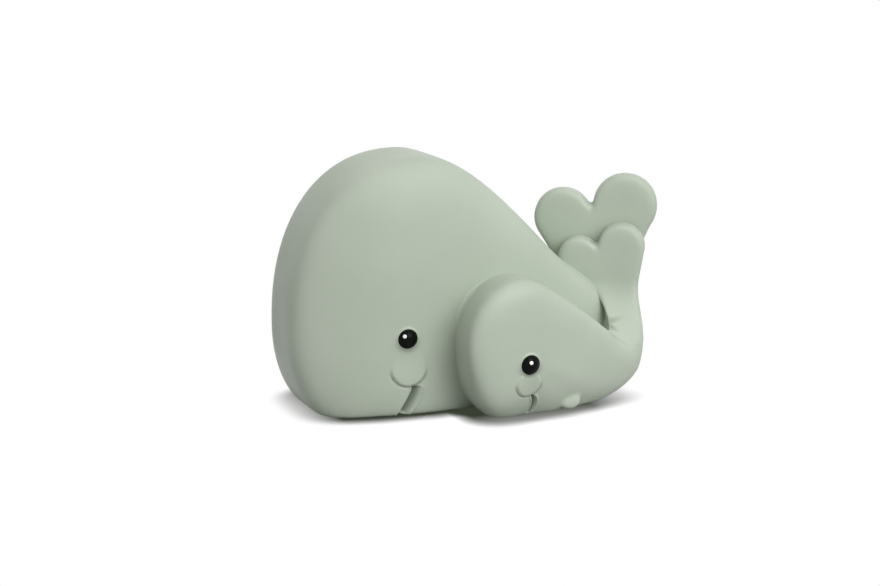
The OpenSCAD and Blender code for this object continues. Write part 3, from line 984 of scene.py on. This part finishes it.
@dataclass(frozen=True)
class Finish:
    """A finish on a moulded surface, with its roughness for thin and for thick clouds."""

    name: str
    rough: tuple

    bump = (0.12, 0.15 * MM)
    scales = {}

    def tone(self, bench: NodeBench, surface: bpy.types.Node) -> bpy.types.NodeSocket:
        """Returns the colour, which each finish mixes in its own way."""
        raise NotImplementedError

    def settings(self) -> dict:
        """Returns the shader's other settings, which each finish has of its own."""
        raise NotImplementedError

    def material(self, group: bpy.types.NodeTree) -> bpy.types.Material:
        """Builds the material.

        Args:
            group: the moulded surface.

        Returns:
            The material.
        """
        material = bpy.data.materials.new(self.name)
        material.use_nodes = True
        bench = NodeBench(material.node_tree)
        shader = material.node_tree.nodes["Principled BSDF"]
        surface = bench.add("ShaderNodeGroup", node_tree=group)
        bench.fill(surface, self.scales)
        strength, distance = self.bump
        bump = bench.add("ShaderNodeBump")
        bench.fill(bump, {"Strength": strength, "Distance": distance, "Height": surface.outputs["Height"]})
        bench.fill(shader, self.settings() | {
            "Base Color": self.tone(bench, surface),
            "Roughness": bench.spread(surface.outputs["Cloud"], 0.0, 1.0, *self.rough),
            "Normal": bump.outputs["Normal"],
        })
        return material


@dataclass(frozen=True)
class RubberFinish(Finish):
    """Soft natural rubber: satin, faint clouds of tone, a few specks, a fine grain and painted shade in
    creases.
    """

    light: tuple
    dark: tuple
    speck: tuple
    # colour of the painted shade in creases, folds and below the eyes
    crease: tuple

    def tone(self, bench: NodeBench, surface: bpy.types.Node) -> bpy.types.NodeSocket:
        """Mixes clouds and specks, and paints shade into the creases.

        Args:
            bench: the material's nodes.
            surface: the moulded surface.

        Returns:
            The colour.
        """
        tone = bench.blend(surface.outputs["Cloud"], self.dark, self.light)
        tone = bench.blend(surface.outputs["Speck"], tone, self.speck)
        # painted shade, read from the vertex attribute that the skins write
        shade = bench.add("ShaderNodeAttribute", attribute_name=PAINTED_SHADE)
        return bench.blend(shade.outputs["Fac"], tone, self.crease)

    def settings(self) -> dict:
        """Returns a soft sheen and a little light under the skin."""
        return {
            "Specular IOR Level": 0.45, "Sheen Weight": 0.08, "Sheen Roughness": 0.4,
            "Subsurface Weight": 0.12, "Subsurface Radius": (1.0, 1.0, 0.8), "Subsurface Scale": 1.2 * MM,
        }


@dataclass(frozen=True)
class GlossFinish(Finish):
    """Glossy paint on an eye, with faint clouds of dust."""

    colour: tuple
    dust: tuple
    gloss: float
    coat: float

    bump = (0.03, 0.1 * MM)
    scales = {"Cloud Scale": 400.0, "Speck Scale": 900.0, "Speck Size": 0.05}
    most_dust = 0.35

    def tone(self, bench: NodeBench, surface: bpy.types.Node) -> bpy.types.NodeSocket:
        """Returns the paint with faint dust on it."""
        faint = bench.spread(surface.outputs["Cloud"], 0.0, 1.0, 0.0, self.most_dust)
        return bench.blend(faint, self.colour, self.dust)

    def settings(self) -> dict:
        """Returns the gloss and the coat."""
        return {"Specular IOR Level": self.gloss, "Coat Weight": self.coat, "Coat Roughness": 0.06}


# Each crease colour is the painted shade in creases, folds and below the eyes.
SKIN_RUBBER = RubberFinish(
    "sage_rubber", rough=(0.54, 0.44), light=(0.47, 0.53, 0.44, 1.0), dark=(0.43, 0.49, 0.40, 1.0),
    speck=(0.30, 0.34, 0.27, 1.0), crease=(0.10, 0.13, 0.09, 1.0))
PLUG_RUBBER = RubberFinish(
    "plug_rubber", rough=(0.56, 0.46), light=(0.44, 0.49, 0.41, 1.0), dark=(0.40, 0.45, 0.37, 1.0),
    speck=(0.28, 0.31, 0.25, 1.0), crease=(0.10, 0.13, 0.09, 1.0))
EYE_BLACK = GlossFinish(
    "eye_black", rough=(0.12, 0.2), colour=(0.005, 0.006, 0.005, 1.0), dust=(0.010, 0.011, 0.010, 1.0),
    gloss=0.045, coat=0.0)
EYE_WHITE = GlossFinish(
    "eye_white", rough=(0.15, 0.25), colour=(0.92, 0.92, 0.9, 1.0), dust=(0.86, 0.86, 0.84, 1.0),
    gloss=0.5, coat=0.2)


# Pieces

@dataclass(kw_only=True)
class WhaleSkin:
    """What both skins share: a body and a tail that are fused, with a face pressed into the flank."""

    form: WhaleForm
    tail: TailForm
    face: FaceForm
    voxel: float
    body_rounds: int
    tail_rounds: int
    root_passes: int
    face_margins: tuple
    flank_from: float
    flank_fade: float = 0.2
    root_blend: float = 4.0 * MM

    def detailed(self, bm: bmesh.types.BMesh, margin: float) -> np.ndarray:
        """Returns yes for each vertex that needs finer faces round it."""
        raise NotImplementedError

    def start(self) -> bmesh.types.BMesh:
        """Lays out the body and the tail.

        Returns:
            Both shapes, still apart.
        """
        bm = bmesh.new()
        self.form.add_to(bm, self.body_rounds)
        self.tail.add_to(bm, self.form, self.tail_rounds)
        return bm

    def fused(self, bm: bmesh.types.BMesh) -> bmesh.types.BMesh:
        """Fuses the shapes and rounds the tail's root.

        Args:
            bm: the shapes, which are freed.

        Returns:
            The skin.
        """
        skin = fuse(bm, self.voxel)
        relax(skin, np.ones(len(skin.verts), bool), EVEN_PASSES)
        self.round_root(skin)
        return skin

    def round_root(self, bm: bmesh.types.BMesh) -> None:
        """Rounds the tail's root."""
        relax(bm, self.near_root(bm), self.root_passes)

    def near_root(self, bm: bmesh.types.BMesh) -> np.ndarray:
        """Chooses where the tail grows out of the body.

        Args:
            bm: the skin.

        Returns:
            One yes or no for each vertex.
        """
        x, y, z = read_points(bm.verts).T
        root = bezier(self.form.back(), np.linspace(self.tail.root_from, self.tail.root_to, 12))
        gap = np.min(np.hypot(x[:, None] - root[:, 0], z[:, None] - root[:, 1]), axis=1)
        away = np.abs(y - self.form.middle_y - self.form.rump_shift)
        return (gap < self.root_blend) & (away < self.tail.thickness / 2 + self.root_blend)

    def refine_face(self, bm: bmesh.types.BMesh) -> None:
        """Gives the skin finer faces where it has detail, in steps.

        Args:
            bm: the skin.
        """
        for margin in self.face_margins:
            refine(bm, self.detailed(bm, margin))
            relax(bm, self.detailed(bm, margin), DETAIL_PASSES)

    def on_flank(self, out: np.ndarray) -> np.ndarray:
        """Returns 1 on the flank and 0 inside it, for places so far out from the middle plane."""
        return ease((out - self.flank_from * self.form.half) / (self.flank_fade * self.form.half))


@dataclass(kw_only=True)
class MotherSkin(WhaleSkin):
    """The mother's body and tail in one skin, with a face on each flank and a seat for the plug."""

    plug_r: float
    voxel: float = 0.56 * MM
    body_rounds: int = 320
    tail_rounds: int = 240
    root_passes: int = 8
    face_margins: tuple = (2.2 * MM, 1.4 * MM)
    flank_from: float = 0.5
    face_from: float = 0.6
    seat_depth: float = 0.8 * MM
    seat_fade: float = 0.3 * MM
    foot: float = 0.5 * MM

    def build(self) -> bmesh.types.BMesh:
        """Builds the skin.

        Returns:
            The finished skin.
        """
        bm = self.fused(self.start())
        self.refine_face(bm)
        self.press(bm)
        return bm

    def detailed(self, bm: bmesh.types.BMesh, margin: float) -> np.ndarray:
        """Chooses the vertices near the faces and the plug.

        Args:
            bm: the skin.
            margin: how far from them.

        Returns:
            One yes or no for each vertex.
        """
        x, y, z = read_points(bm.verts).T
        faces = self.face.near(x, z, margin) & (np.abs(y) > self.face_from * self.form.half)
        return faces | ((np.abs(np.hypot(x, y) - self.plug_r) < margin) & (z < margin))

    def press(self, bm: bmesh.types.BMesh) -> None:
        """Presses the faces and the plug's seat into the skin, and paints shade into the faces' creases.

        Args:
            bm: the skin.
        """
        points = read_points(bm.verts)
        x, y, z = points.T
        flank = self.on_flank(np.abs(y))
        points = points + read_normals(bm) * (flank * self.face.height(x, z))[:, None]
        seat = ease((self.plug_r - np.hypot(x, y)) / self.seat_fade + 0.5) * (z < self.foot)
        points[:, 2] = np.maximum(points[:, 2], 0.0) + self.seat_depth * seat
        write_points(bm.verts, points)
        # painted shade in the faces' creases and below the eyes
        write_painted_shade(bm, flank * self.face.shade(x, z))


@dataclass(kw_only=True)
class CalfSkin(WhaleSkin):
    """The calf's body, tail and fin in one skin, shaped to the mother's flank."""

    mother: WhaleForm
    folds: tuple
    voxel: float = 0.42 * MM
    body_rounds: int = 280
    tail_rounds: int = 220
    root_passes: int = 10
    outer_passes: int = 40
    face_margins: tuple = (2.0 * MM, 1.2 * MM)
    flank_from: float = 0.4
    fin_x: float = 30.0 * MM
    fin_z: float = 2.6 * MM
    fin_length: float = 6.8 * MM
    fin_height: float = 4.6 * MM
    fin_out: float = 1.3 * MM
    fin_lean: float = 0.12
    fin_square: float = 2.6
    # painted shade in the folds
    painted_fold_shade: float = 0.3
    fold_edge: float = 0.03
    fold_facing: float = -0.3
    web: float = 2.2 * MM
    web_heading: float = 135.0
    web_spread: float = 24.0
    least_web: float = 0.02 * MM
    web_end: float = 1.25
    web_fade: float = 0.15
    bond: float = 0.1 * MM
    sink: float = 0.4 * MM

    def build(self) -> bmesh.types.BMesh:
        """Builds the skin.

        Returns:
            The finished skin.
        """
        bm = self.start()
        self.add_fin(bm)
        bm = self.fused(bm)
        self.refine_face(bm)
        refine(bm, self.webbed(bm))
        refine(bm, self.creased(bm) > self.fold_edge)
        self.press(bm)
        self.join_mother(bm)
        return bm

    def round_root(self, bm: bmesh.types.BMesh) -> None:
        """Rounds the tail's root, most of all on the near side.

        Args:
            bm: the skin.
        """
        root = self.near_root(bm)
        relax(bm, root, self.root_passes)
        outer = read_points(bm.verts)[:, 1] < self.form.middle_y - 0.25 * self.tail.thickness
        relax(bm, root & outer, self.outer_passes)

    def creased(self, bm: bmesh.types.BMesh) -> np.ndarray:
        """Measures the folds at the tail's root, on the side that faces -Y.

        Args:
            bm: the skin.

        Returns:
            How deep in the folds each vertex is, from 0 to 1.
        """
        x, _, z = read_points(bm.verts).T
        near = read_normals(bm)[:, 1] < self.fold_facing
        return near * np.max([fold.share(x, z) for fold in self.folds], axis=0)

    def add_fin(self, bm: bmesh.types.BMesh) -> None:
        """Adds the fin, a rounded paddle low on the near flank with its face turned up a little.

        Args:
            bm: the bmesh.
        """
        y = float(self.form.flank_y(np.array([self.fin_x]), np.array([self.fin_z]))[0])
        angle = np.linspace(0.0, FULL_TURN, 60, endpoint=False)
        half = np.array([self.fin_length / 2, self.fin_height / 2])
        middle = np.array([self.fin_x, self.fin_z])

        def lay(x: np.ndarray, z: np.ndarray, rise: np.ndarray) -> np.ndarray:
            """Lays places of the side view.

            Args:
                x: places along the toy.
                z: their heights.
                rise: -1 on the near flank to 1 on the far one.

            Returns:
                One point for each, in rows.
            """
            lean = self.fin_lean * (z - self.fin_z)
            return np.column_stack([x, y + lean + rise * self.fin_out, z])

        rim = middle + half * np.column_stack([np.cos(angle), np.sin(angle)])
        add_pillow(bm, 96, rim, middle, lambda dx, dz, near: np.full(len(dx), self.fin_square), lay)

    def detailed(self, bm: bmesh.types.BMesh, margin: float) -> np.ndarray:
        """Returns yes for each vertex near the face."""
        x, y, z = read_points(bm.verts).T
        return self.face.near(x, z, margin) & (y < self.form.middle_y - self.flank_from * self.form.half)

    def turn_from_web(self, x: np.ndarray, z: np.ndarray) -> np.ndarray:
        """Returns the turn of each place from the middle of the web, in degrees."""
        return turn_between(x - self.form.core[0], z - self.form.core[1], self.web_heading)

    def webbed(self, bm: bmesh.types.BMesh) -> np.ndarray:
        """Chooses what the web moves.

        Args:
            bm: the skin.

        Returns:
            One yes or no for each vertex.
        """
        x, y, z = read_points(bm.verts).T
        rise = self.mother.flank_y(x, z) - y
        fore = np.abs(self.turn_from_web(x, z)) < 1.8 * self.web_spread
        return fore & (rise > -MM) & (rise < 1.5 * self.web) & (self.form.share_at(x, z) > 0.85)

    def press(self, bm: bmesh.types.BMesh) -> None:
        """Presses the face and the folds into the near flank, and paints shade into them.

        Args:
            bm: the skin.
        """
        points = read_points(bm.verts)
        x, y, z = points.T
        flank = self.on_flank(self.form.middle_y - y)
        folded = self.creased(bm)
        out = flank * self.face.height(x, z) - self.folds[0].depth * folded
        points = points + read_normals(bm) * out[:, None]
        points[:, 2] = np.maximum(points[:, 2], 0.0)
        write_points(bm.verts, points)
        # painted shade in the face's creases, below the eye and in the folds
        write_painted_shade(bm, np.maximum(flank * self.face.shade(x, z), self.painted_fold_shade * folded))

    def join_mother(self, bm: bmesh.types.BMesh) -> None:
        """Lays the calf against the mother's flank, with a web at its forehead.

        Args:
            bm: the skin.
        """
        points = read_points(bm.verts)
        x, y, z = points.T
        rise = self.mother.flank_y(x, z) - y + self.bond
        web = self.web * bump_at(self.turn_from_web(x, z), self.web_spread) + self.least_web
        reach = np.clip(web - rise, 0.0, web)
        flare = web - np.sqrt(np.maximum(web * web - reach * reach, 0.0))
        flare *= ease((self.web_end - self.form.share_at(x, z)) / self.web_fade)
        dx, dz = x - self.form.core[0], z - self.form.core[1]
        length = np.maximum(np.hypot(dx, dz), MM)
        points[:, 0] += flare * dx / length
        points[:, 2] += flare * np.maximum(dz, 0.0) / length
        points[:, 1] = np.minimum(y, self.mother.flank_y(points[:, 0], points[:, 2]) + self.sink)
        write_points(bm.verts, points)


@dataclass(frozen=True)
class Eye:
    """A bead eye and its white spot, seated on a whale's flank."""

    name: str
    form: EyeForm
    whale: WhaleForm
    side: Side
    spot_depth: float = 0.4 * MM
    spot_lift: float = 0.06 * MM

    def seat_matrix(self) -> Matrix:
        """Finds the place of the eye on the near flank.

        Returns:
            A matrix whose Z points out of the flank and whose Y points up along it.
        """
        step = 0.5 * MM
        x = np.array([self.form.x, self.form.x + step, self.form.x - step, self.form.x, self.form.x])
        z = np.array([self.form.z, self.form.z, self.form.z, self.form.z + step, self.form.z - step])
        y = self.whale.flank_y(x, z)
        out = Vector((y[1] - y[2], -2 * step, y[3] - y[4])).normalized()
        along = Vector((0.0, 0.0, 1.0)).cross(out).normalized()
        up = out.cross(along)
        matrix = Matrix((along, up, out)).transposed().to_4x4()
        matrix.translation = (self.form.x, y[0], self.form.z)
        return matrix

    def finish(self, bm: bmesh.types.BMesh, matrix: Matrix) -> bmesh.types.BMesh:
        """Moves a turned shape to its place, on the far flank too.

        Args:
            bm: the shape.
            matrix: its place on the near flank.

        Returns:
            The shape.
        """
        bmesh.ops.remove_doubles(bm, verts=bm.verts, dist=1e-6)
        bmesh.ops.transform(bm, matrix=matrix, verts=bm.verts)
        if self.side is Side.FAR:
            bmesh.ops.scale(bm, vec=Vector((1.0, -1.0, 1.0)), verts=bm.verts)
        bmesh.ops.recalc_face_normals(bm, faces=bm.faces)
        return bm

    def bead(self) -> bmesh.types.BMesh:
        """Turns the black bead, a dome on a short stem.

        Returns:
            The finished bead.
        """
        form = self.form
        radius = form.diameter / 2
        profile = [(0.0, -form.seat), (0.96 * radius, -form.seat), (radius, -0.9 * form.seat)]
        low = math.asin(radius / form.ball)
        for angle in np.linspace(low, 0.0, 18):
            profile.append((form.ball * math.sin(angle), form.ball * math.cos(angle) - form.ball + form.dome))
        return self.finish(turned(profile), self.seat_matrix())

    def spot(self) -> bmesh.types.BMesh:
        """Turns the white spot, a thin lens on the dome.

        Returns:
            The finished spot.
        """
        form = self.form
        edge = form.spot_diameter / 2
        profile = [(0.0, form.ball - self.spot_depth), (edge, form.ball - self.spot_depth)]
        for angle in np.linspace(0.0, math.pi / 2, 9):
            lift = self.spot_lift * math.sin(angle)
            radius = edge * math.cos(angle) if angle else edge
            dome = math.sqrt(form.ball**2 - radius**2)
            profile.append((max(radius, 0.0), dome + lift))
        turn = Matrix.Rotation(math.radians(form.spot_heading), 4, "Z")
        turn = turn @ Matrix.Rotation(math.radians(form.spot_turn), 4, "Y")
        centre = Matrix.Translation((0.0, 0.0, form.dome - form.ball))
        return self.finish(turned(profile), self.seat_matrix() @ centre @ turn)


def turned(profile: list, steps: int = 64) -> bmesh.types.BMesh:
    """Turns a profile round the Z axis.

    Args:
        profile: corners in radius and height, from the axis out and back to it.
        steps: faces round the axis.

    Returns:
        The closed shape.
    """
    bm = bmesh.new()
    verts = [bm.verts.new((radius, 0.0, height)) for radius, height in profile]
    edges = [bm.edges.new(pair) for pair in zip(verts, verts[1:])]
    bmesh.ops.spin(bm, geom=verts + edges, cent=(0.0, 0.0, 0.0), axis=(0.0, 0.0, 1.0), angle=FULL_TURN,
                   steps=steps, use_merge=True)
    bmesh.ops.remove_doubles(bm, verts=bm.verts, dist=1e-6)
    return bm


@dataclass(frozen=True)
class Plug:
    """The plug in the mother's foot: a flush face with a rounded edge, and a head inside the wall."""

    radius: float = 4.4 * MM
    gap: float = 0.1 * MM
    wall: float = 3.0 * MM
    head_r: float = 6.0 * MM
    head: float = 1.4 * MM
    round_edge: float = 0.35 * MM
    dish: float = 0.25 * MM

    def build(self) -> bmesh.types.BMesh:
        """Turns the plug.

        Returns:
            The finished plug.
        """
        flat = self.radius - self.round_edge
        profile = [(flat * share, self.dish * (1.0 - share * share)) for share in np.linspace(0.0, 1.0, 9)]
        for angle in np.linspace(0.0, math.pi / 2, 7)[1:]:
            out, rise = math.sin(angle), 1.0 - math.cos(angle)
            profile.append((flat + self.round_edge * out, self.round_edge * rise))
        top = self.wall + self.head
        profile += [(self.radius, self.wall), (self.head_r, self.wall), (self.head_r, top), (0.0, top)]
        bm = turned(profile)
        bmesh.ops.recalc_face_normals(bm, faces=bm.faces)
        return bm


@dataclass(frozen=True)
class Studio:
    """A white floor with the toy's shadow painted on it, soft light from above and the right, and the camera.
    """

    floor_half: float = 4.0
    bounce: float = 0.32
    # The shadow colour and the fields down to side_share shape the shadow painted into the floor's glow.
    shadow: tuple = (0.042, 0.05, 0.032, 1.0)
    reach: float = 7.6 * MM
    sky: tuple = (0.5, 0.97)
    softness: float = 1.7
    fore_end: tuple = (-49.0 * MM, -34.0 * MM)
    rear_end: tuple = (60.0 * MM, 38.0 * MM)
    side_end: tuple = (-46.0 * MM, -28.0 * MM)
    side_share: float = 0.5
    ambient: float = 0.56
    camera_place: tuple = (-206.6 * MM, -486.7 * MM, 151.6 * MM)
    camera_aim: tuple = (6.0 * MM, 6.4 * MM, 28.6 * MM)
    lens: float = 74.9

    def build(self) -> None:
        """Builds the floor, the world, the lamps and the camera."""
        self.floor()
        self.world()
        self.lamp("key_light", heading=14.0, height=28.0, away=0.8, size=0.6, strength=0.52)
        self.lamp("top_light", heading=20.0, height=75.0, away=0.8, size=0.8, strength=0.13)
        self.camera()

    def floor(self) -> None:
        """Adds the floor, which glows white to the camera with the toy's shadow painted into the glow."""
        bm = bmesh.new()
        bmesh.ops.create_grid(bm, x_segments=1, y_segments=1, size=self.floor_half)
        mesh = bpy.data.meshes.new("floor")
        bm.to_mesh(mesh)
        bm.free()
        floor = add_object("floor", mesh)
        paper = bpy.data.materials.new("white_floor_painted_shadow")
        paper.use_nodes = True
        bench = NodeBench(paper.node_tree)
        shader = paper.node_tree.nodes["Principled BSDF"]
        seen = bench.seen_directly()
        tone = bench.blend(seen, (self.bounce, self.bounce, self.bounce, 1.0), (0.0, 0.0, 0.0, 1.0))
        bench.feed(tone, shader.inputs["Base Color"])
        # The toy's shadow is painted into the glow from an occlusion mask; the lamps' own shadows don't show.
        paper_with_painted_shadow = bench.blend(self.painted_floor_shadow(bench), (1.0, 1.0, 1.0, 1.0), self.shadow)
        bench.feed(bench.blend(seen, (0.0, 0.0, 0.0, 1.0), paper_with_painted_shadow), shader.inputs["Emission Color"])
        bench.fill(shader, {"Emission Strength": 1.0, "Roughness": 0.9, "Specular IOR Level": 0.0})
        mesh.materials.append(paper)

    def painted_floor_shadow(self, bench: NodeBench) -> bpy.types.NodeSocket:
        """How dark the shadow painted on the floor is: full below the mother, fading to the front, rear and
        near side.

        Args:
            bench: the floor's nodes.

        Returns:
            1 in full shadow and 0 in none.
        """
        near = bench.add("ShaderNodeAmbientOcclusion", samples=24)
        bench.fill(near, {"Distance": self.reach})
        open_sky = bench.math("POWER", bench.spread(near.outputs["AO"], *self.sky, 0.0, 1.0), self.softness)
        place = bench.add("ShaderNodeSeparateXYZ")
        bench.feed(bench.add("ShaderNodeTexCoord").outputs["Object"], place.inputs["Vector"])
        fore = bench.spread(place.outputs["X"], *self.fore_end, 0.0, 1.0)
        rear = bench.spread(place.outputs["X"], *self.rear_end, 0.0, 1.0)
        side = bench.spread(place.outputs["Y"], *self.side_end, self.side_share, 1.0)
        closed = bench.spread(open_sky, 0.0, 1.0, 1.0, 0.0)
        for share in (fore, rear, side):
            closed = bench.math("MULTIPLY", closed, share)
        return closed

    def world(self) -> None:
        """Sets a white backdrop and an even, weaker light from all round."""
        world = bpy.data.worlds.new("studio")
        bpy.context.scene.world = world
        world.use_nodes = True
        bench = NodeBench(world.node_tree)
        light = world.node_tree.nodes["Background"]
        strength = bench.spread(bench.seen_directly(), 0.0, 1.0, self.ambient, 1.0)
        bench.fill(light, {"Strength": strength, "Color": (1.0, 1.0, 1.0, 1.0)})

    def lamp(self, name: str, heading: float, height: float, away: float, size: float,
             strength: float) -> None:
        """Adds a round soft lamp that is turned to the toy.

        Args:
            name: the lamp's name.
            heading: its direction, in degrees from the near side towards the tails.
            height: its height, in degrees above the floor.
            away: its distance from the toy.
            size: its diameter.
            strength: light on a surface at the toy that faces it, where 1 renders a colour as it is written.
        """
        data = bpy.data.lights.new(name, "AREA")
        data.shape = "DISK"
        data.size = size
        data.energy = math.pi**2 * (away**2 + size**2 / 4) * strength
        across, rise = math.radians(heading), math.radians(height)
        level = math.cos(rise)
        source = Vector((math.sin(across) * level, -math.cos(across) * level, math.sin(rise)))
        self.aim(add_object(name, data), Vector(self.camera_aim) + away * source)

    def aim(self, item: bpy.types.Object, place: Vector) -> None:
        """Moves a lamp or camera to a place and turns it to the toy."""
        item.location = place
        item.rotation_euler = (Vector(self.camera_aim) - place).to_track_quat("-Z", "Y").to_euler()

    def camera(self) -> None:
        """Adds the camera at the photograph's angle."""
        data = bpy.data.cameras.new("camera")
        data.lens = self.lens
        data.clip_start = 0.01
        camera = add_object("camera", data)
        self.aim(camera, Vector(self.camera_place))
        bpy.context.scene.camera = camera


# The toy

MOTHER = WhaleForm(
    **lengths(
        place=0.0, front=47.0, front_z=23.9, crown=7.0, height=73.3, chin=32.0, heel=47.0, rear=56.6,
        rear_z=10.0, back_level=24.25, back_run=8.8, foot_cut=2.9, snout_half=14.0, half=21.0,
        rump_half=19.0, widest=4.0, hip=5.2),
    back_slope=51.0, brow_square=2.25, hip_at=0.71, hip_long=0.13,
    local_squares=((11.0, 16.0, 26.0), (9.0, -90.0, 45.0)))
MOTHER_TAIL = TailForm(
    **lengths(
        fore_r=8.6, rear_r=9.6, notch_r=0.8, lobe_half=9.5, middle_x=51.7, middle_z=52.5, thickness=8.0,
        core_drop=8.0, shift=-5.0, bend_low=14.0, bend_top=42.0, fore_waist=0.6, rear_waist=1.4),
    lean=11.0, turn=30.0, root_from=0.785, root_to=1.0, fore_wrap=8.0, rear_wrap=18.0)
MOTHER_FACE = FaceForm(
    eye=EyeForm(**lengths(x=-15.5, z=22.9, diameter=6.0), spot_turn=27.0, spot_heading=141.0),
    cheek=CheekForm(**lengths(
        x=-15.2, z=13.9, radius=5.5, out=0.5, lid_x=-15.5, lid_z=43.0, lid_r=25.0, lid_fade=8.5,
        crease_top=14.4, crease_fade=3.4, edge=1.1)),
    mouth=MouthForm(
        fore=in_metres((-14.3, 8.8), (-14.8, 6.6), (-17.0, 3.2), (-18.9, -0.6)),
        rear=in_metres((-11.3, 8.8), (-11.2, 5.6), (-12.8, 2.4), (-15.7, -0.6)),
        **lengths(depth=2.0, end_z=-0.25, end_fade=0.8)))
CALF = WhaleForm(
    **lengths(
        place=20.0, front=20.0, front_z=17.6, crown=4.5, height=38.8, chin=4.0, heel=5.0, rear=36.75,
        rear_z=11.9, back_level=9.75, back_run=7.5, foot_cut=3.0, snout_half=11.6, half=12.0,
        rump_half=5.2, widest=5.0, middle_y=-26.0, rump_shift=1.0, lead=4.5),
    back_slope=33.0, brow_square=2.12, chin_square=2.5, heel_square=2.05, near_square=6.0,
    local_squares=((6.5, 180.0, 40.0), (2.0, -90.0, 48.0), (3.6, -35.0, 28.0)))
CALF_TAIL = TailForm(
    **lengths(
        fore_r=6.2, rear_r=6.9, notch_r=0.8, lobe_half=6.6, middle_x=49.8, middle_z=41.5, thickness=8.0,
        core_drop=5.0, shift=12.0, bend_low=12.0, bend_top=34.0, fore_waist=6.2, rear_waist=-0.6),
    lean=16.0, turn=32.0, root_from=0.65, root_to=0.98, fore_wrap=20.0, rear_wrap=2.0)
CALF_FACE = FaceForm(
    eye=EyeForm(**lengths(x=14.7, z=16.4, diameter=6.0), spot_turn=16.0, spot_heading=115.0),
    cheek=CheekForm(**lengths(
        x=14.5, z=10.5, radius=4.2, out=0.42, lid_x=14.7, lid_z=16.4, lid_r=3.3, lid_fade=1.4,
        crease_top=10.8, crease_fade=1.4, edge=1.1, groove=0.25, groove_width=0.28)),
    mouth=MouthForm(
        fore=in_metres((15.7, 6.9), (16.8, 5.0), (17.0, 3.0), (15.8, 0.2)),
        rear=in_metres((17.0, 6.9), (18.8, 4.8), (18.6, 2.8), (17.1, 0.2)),
        **lengths(depth=1.2, end_z=0.2)))
CALF_FOLDS = (
    Fold(*in_metres((47.8, 22.5), (53.0, 23.6))),
    Fold(*in_metres((47.3, 21.2), (50.4, 19.4))),
    Fold(*in_metres((46.4, 20.0), (48.3, 17.6))),
)


def main() -> None:
    """Builds the toy and its studio and reports each piece."""
    logging.basicConfig(level=logging.INFO)
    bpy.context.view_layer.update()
    bpy.context.scene.view_settings.view_transform = "Standard"
    Studio().build()
    group = surface_group()
    rubber = SKIN_RUBBER.material(group)
    black = EYE_BLACK.material(group)
    white = EYE_WHITE.material(group)

    plug = Plug()
    mother = MotherSkin(form=MOTHER, tail=MOTHER_TAIL, face=MOTHER_FACE, plug_r=plug.radius + plug.gap)
    mother_skin = new_piece("mother_skin", mother.build(), rubber)
    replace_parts(mother_skin, "mother_body", "mother_tail")
    calf = CalfSkin(form=CALF, tail=CALF_TAIL, face=CALF_FACE, mother=MOTHER, folds=CALF_FOLDS)
    calf_skin = new_piece("calf_skin", calf.build(), rubber)
    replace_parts(calf_skin, "calf_body", "calf_tail", "calf_fin")
    stopper = new_piece("foot_plug", plug.build(), PLUG_RUBBER.material(group))
    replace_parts(stopper, "mother_plug")
    eyes = (
        Eye("mother_near", MOTHER_FACE.eye, MOTHER, Side.NEAR),
        Eye("mother_far", MOTHER_FACE.eye, MOTHER, Side.FAR),
        Eye("calf", CALF_FACE.eye, CALF, Side.NEAR),
    )
    for eye in eyes:
        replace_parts(new_piece(eye.name + "_bead", eye.bead(), black), eye.name + "_eye")
        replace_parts(new_piece(eye.name + "_spot", eye.spot(), white), eye.name + "_glint")


if __name__ == "__main__":
    main()
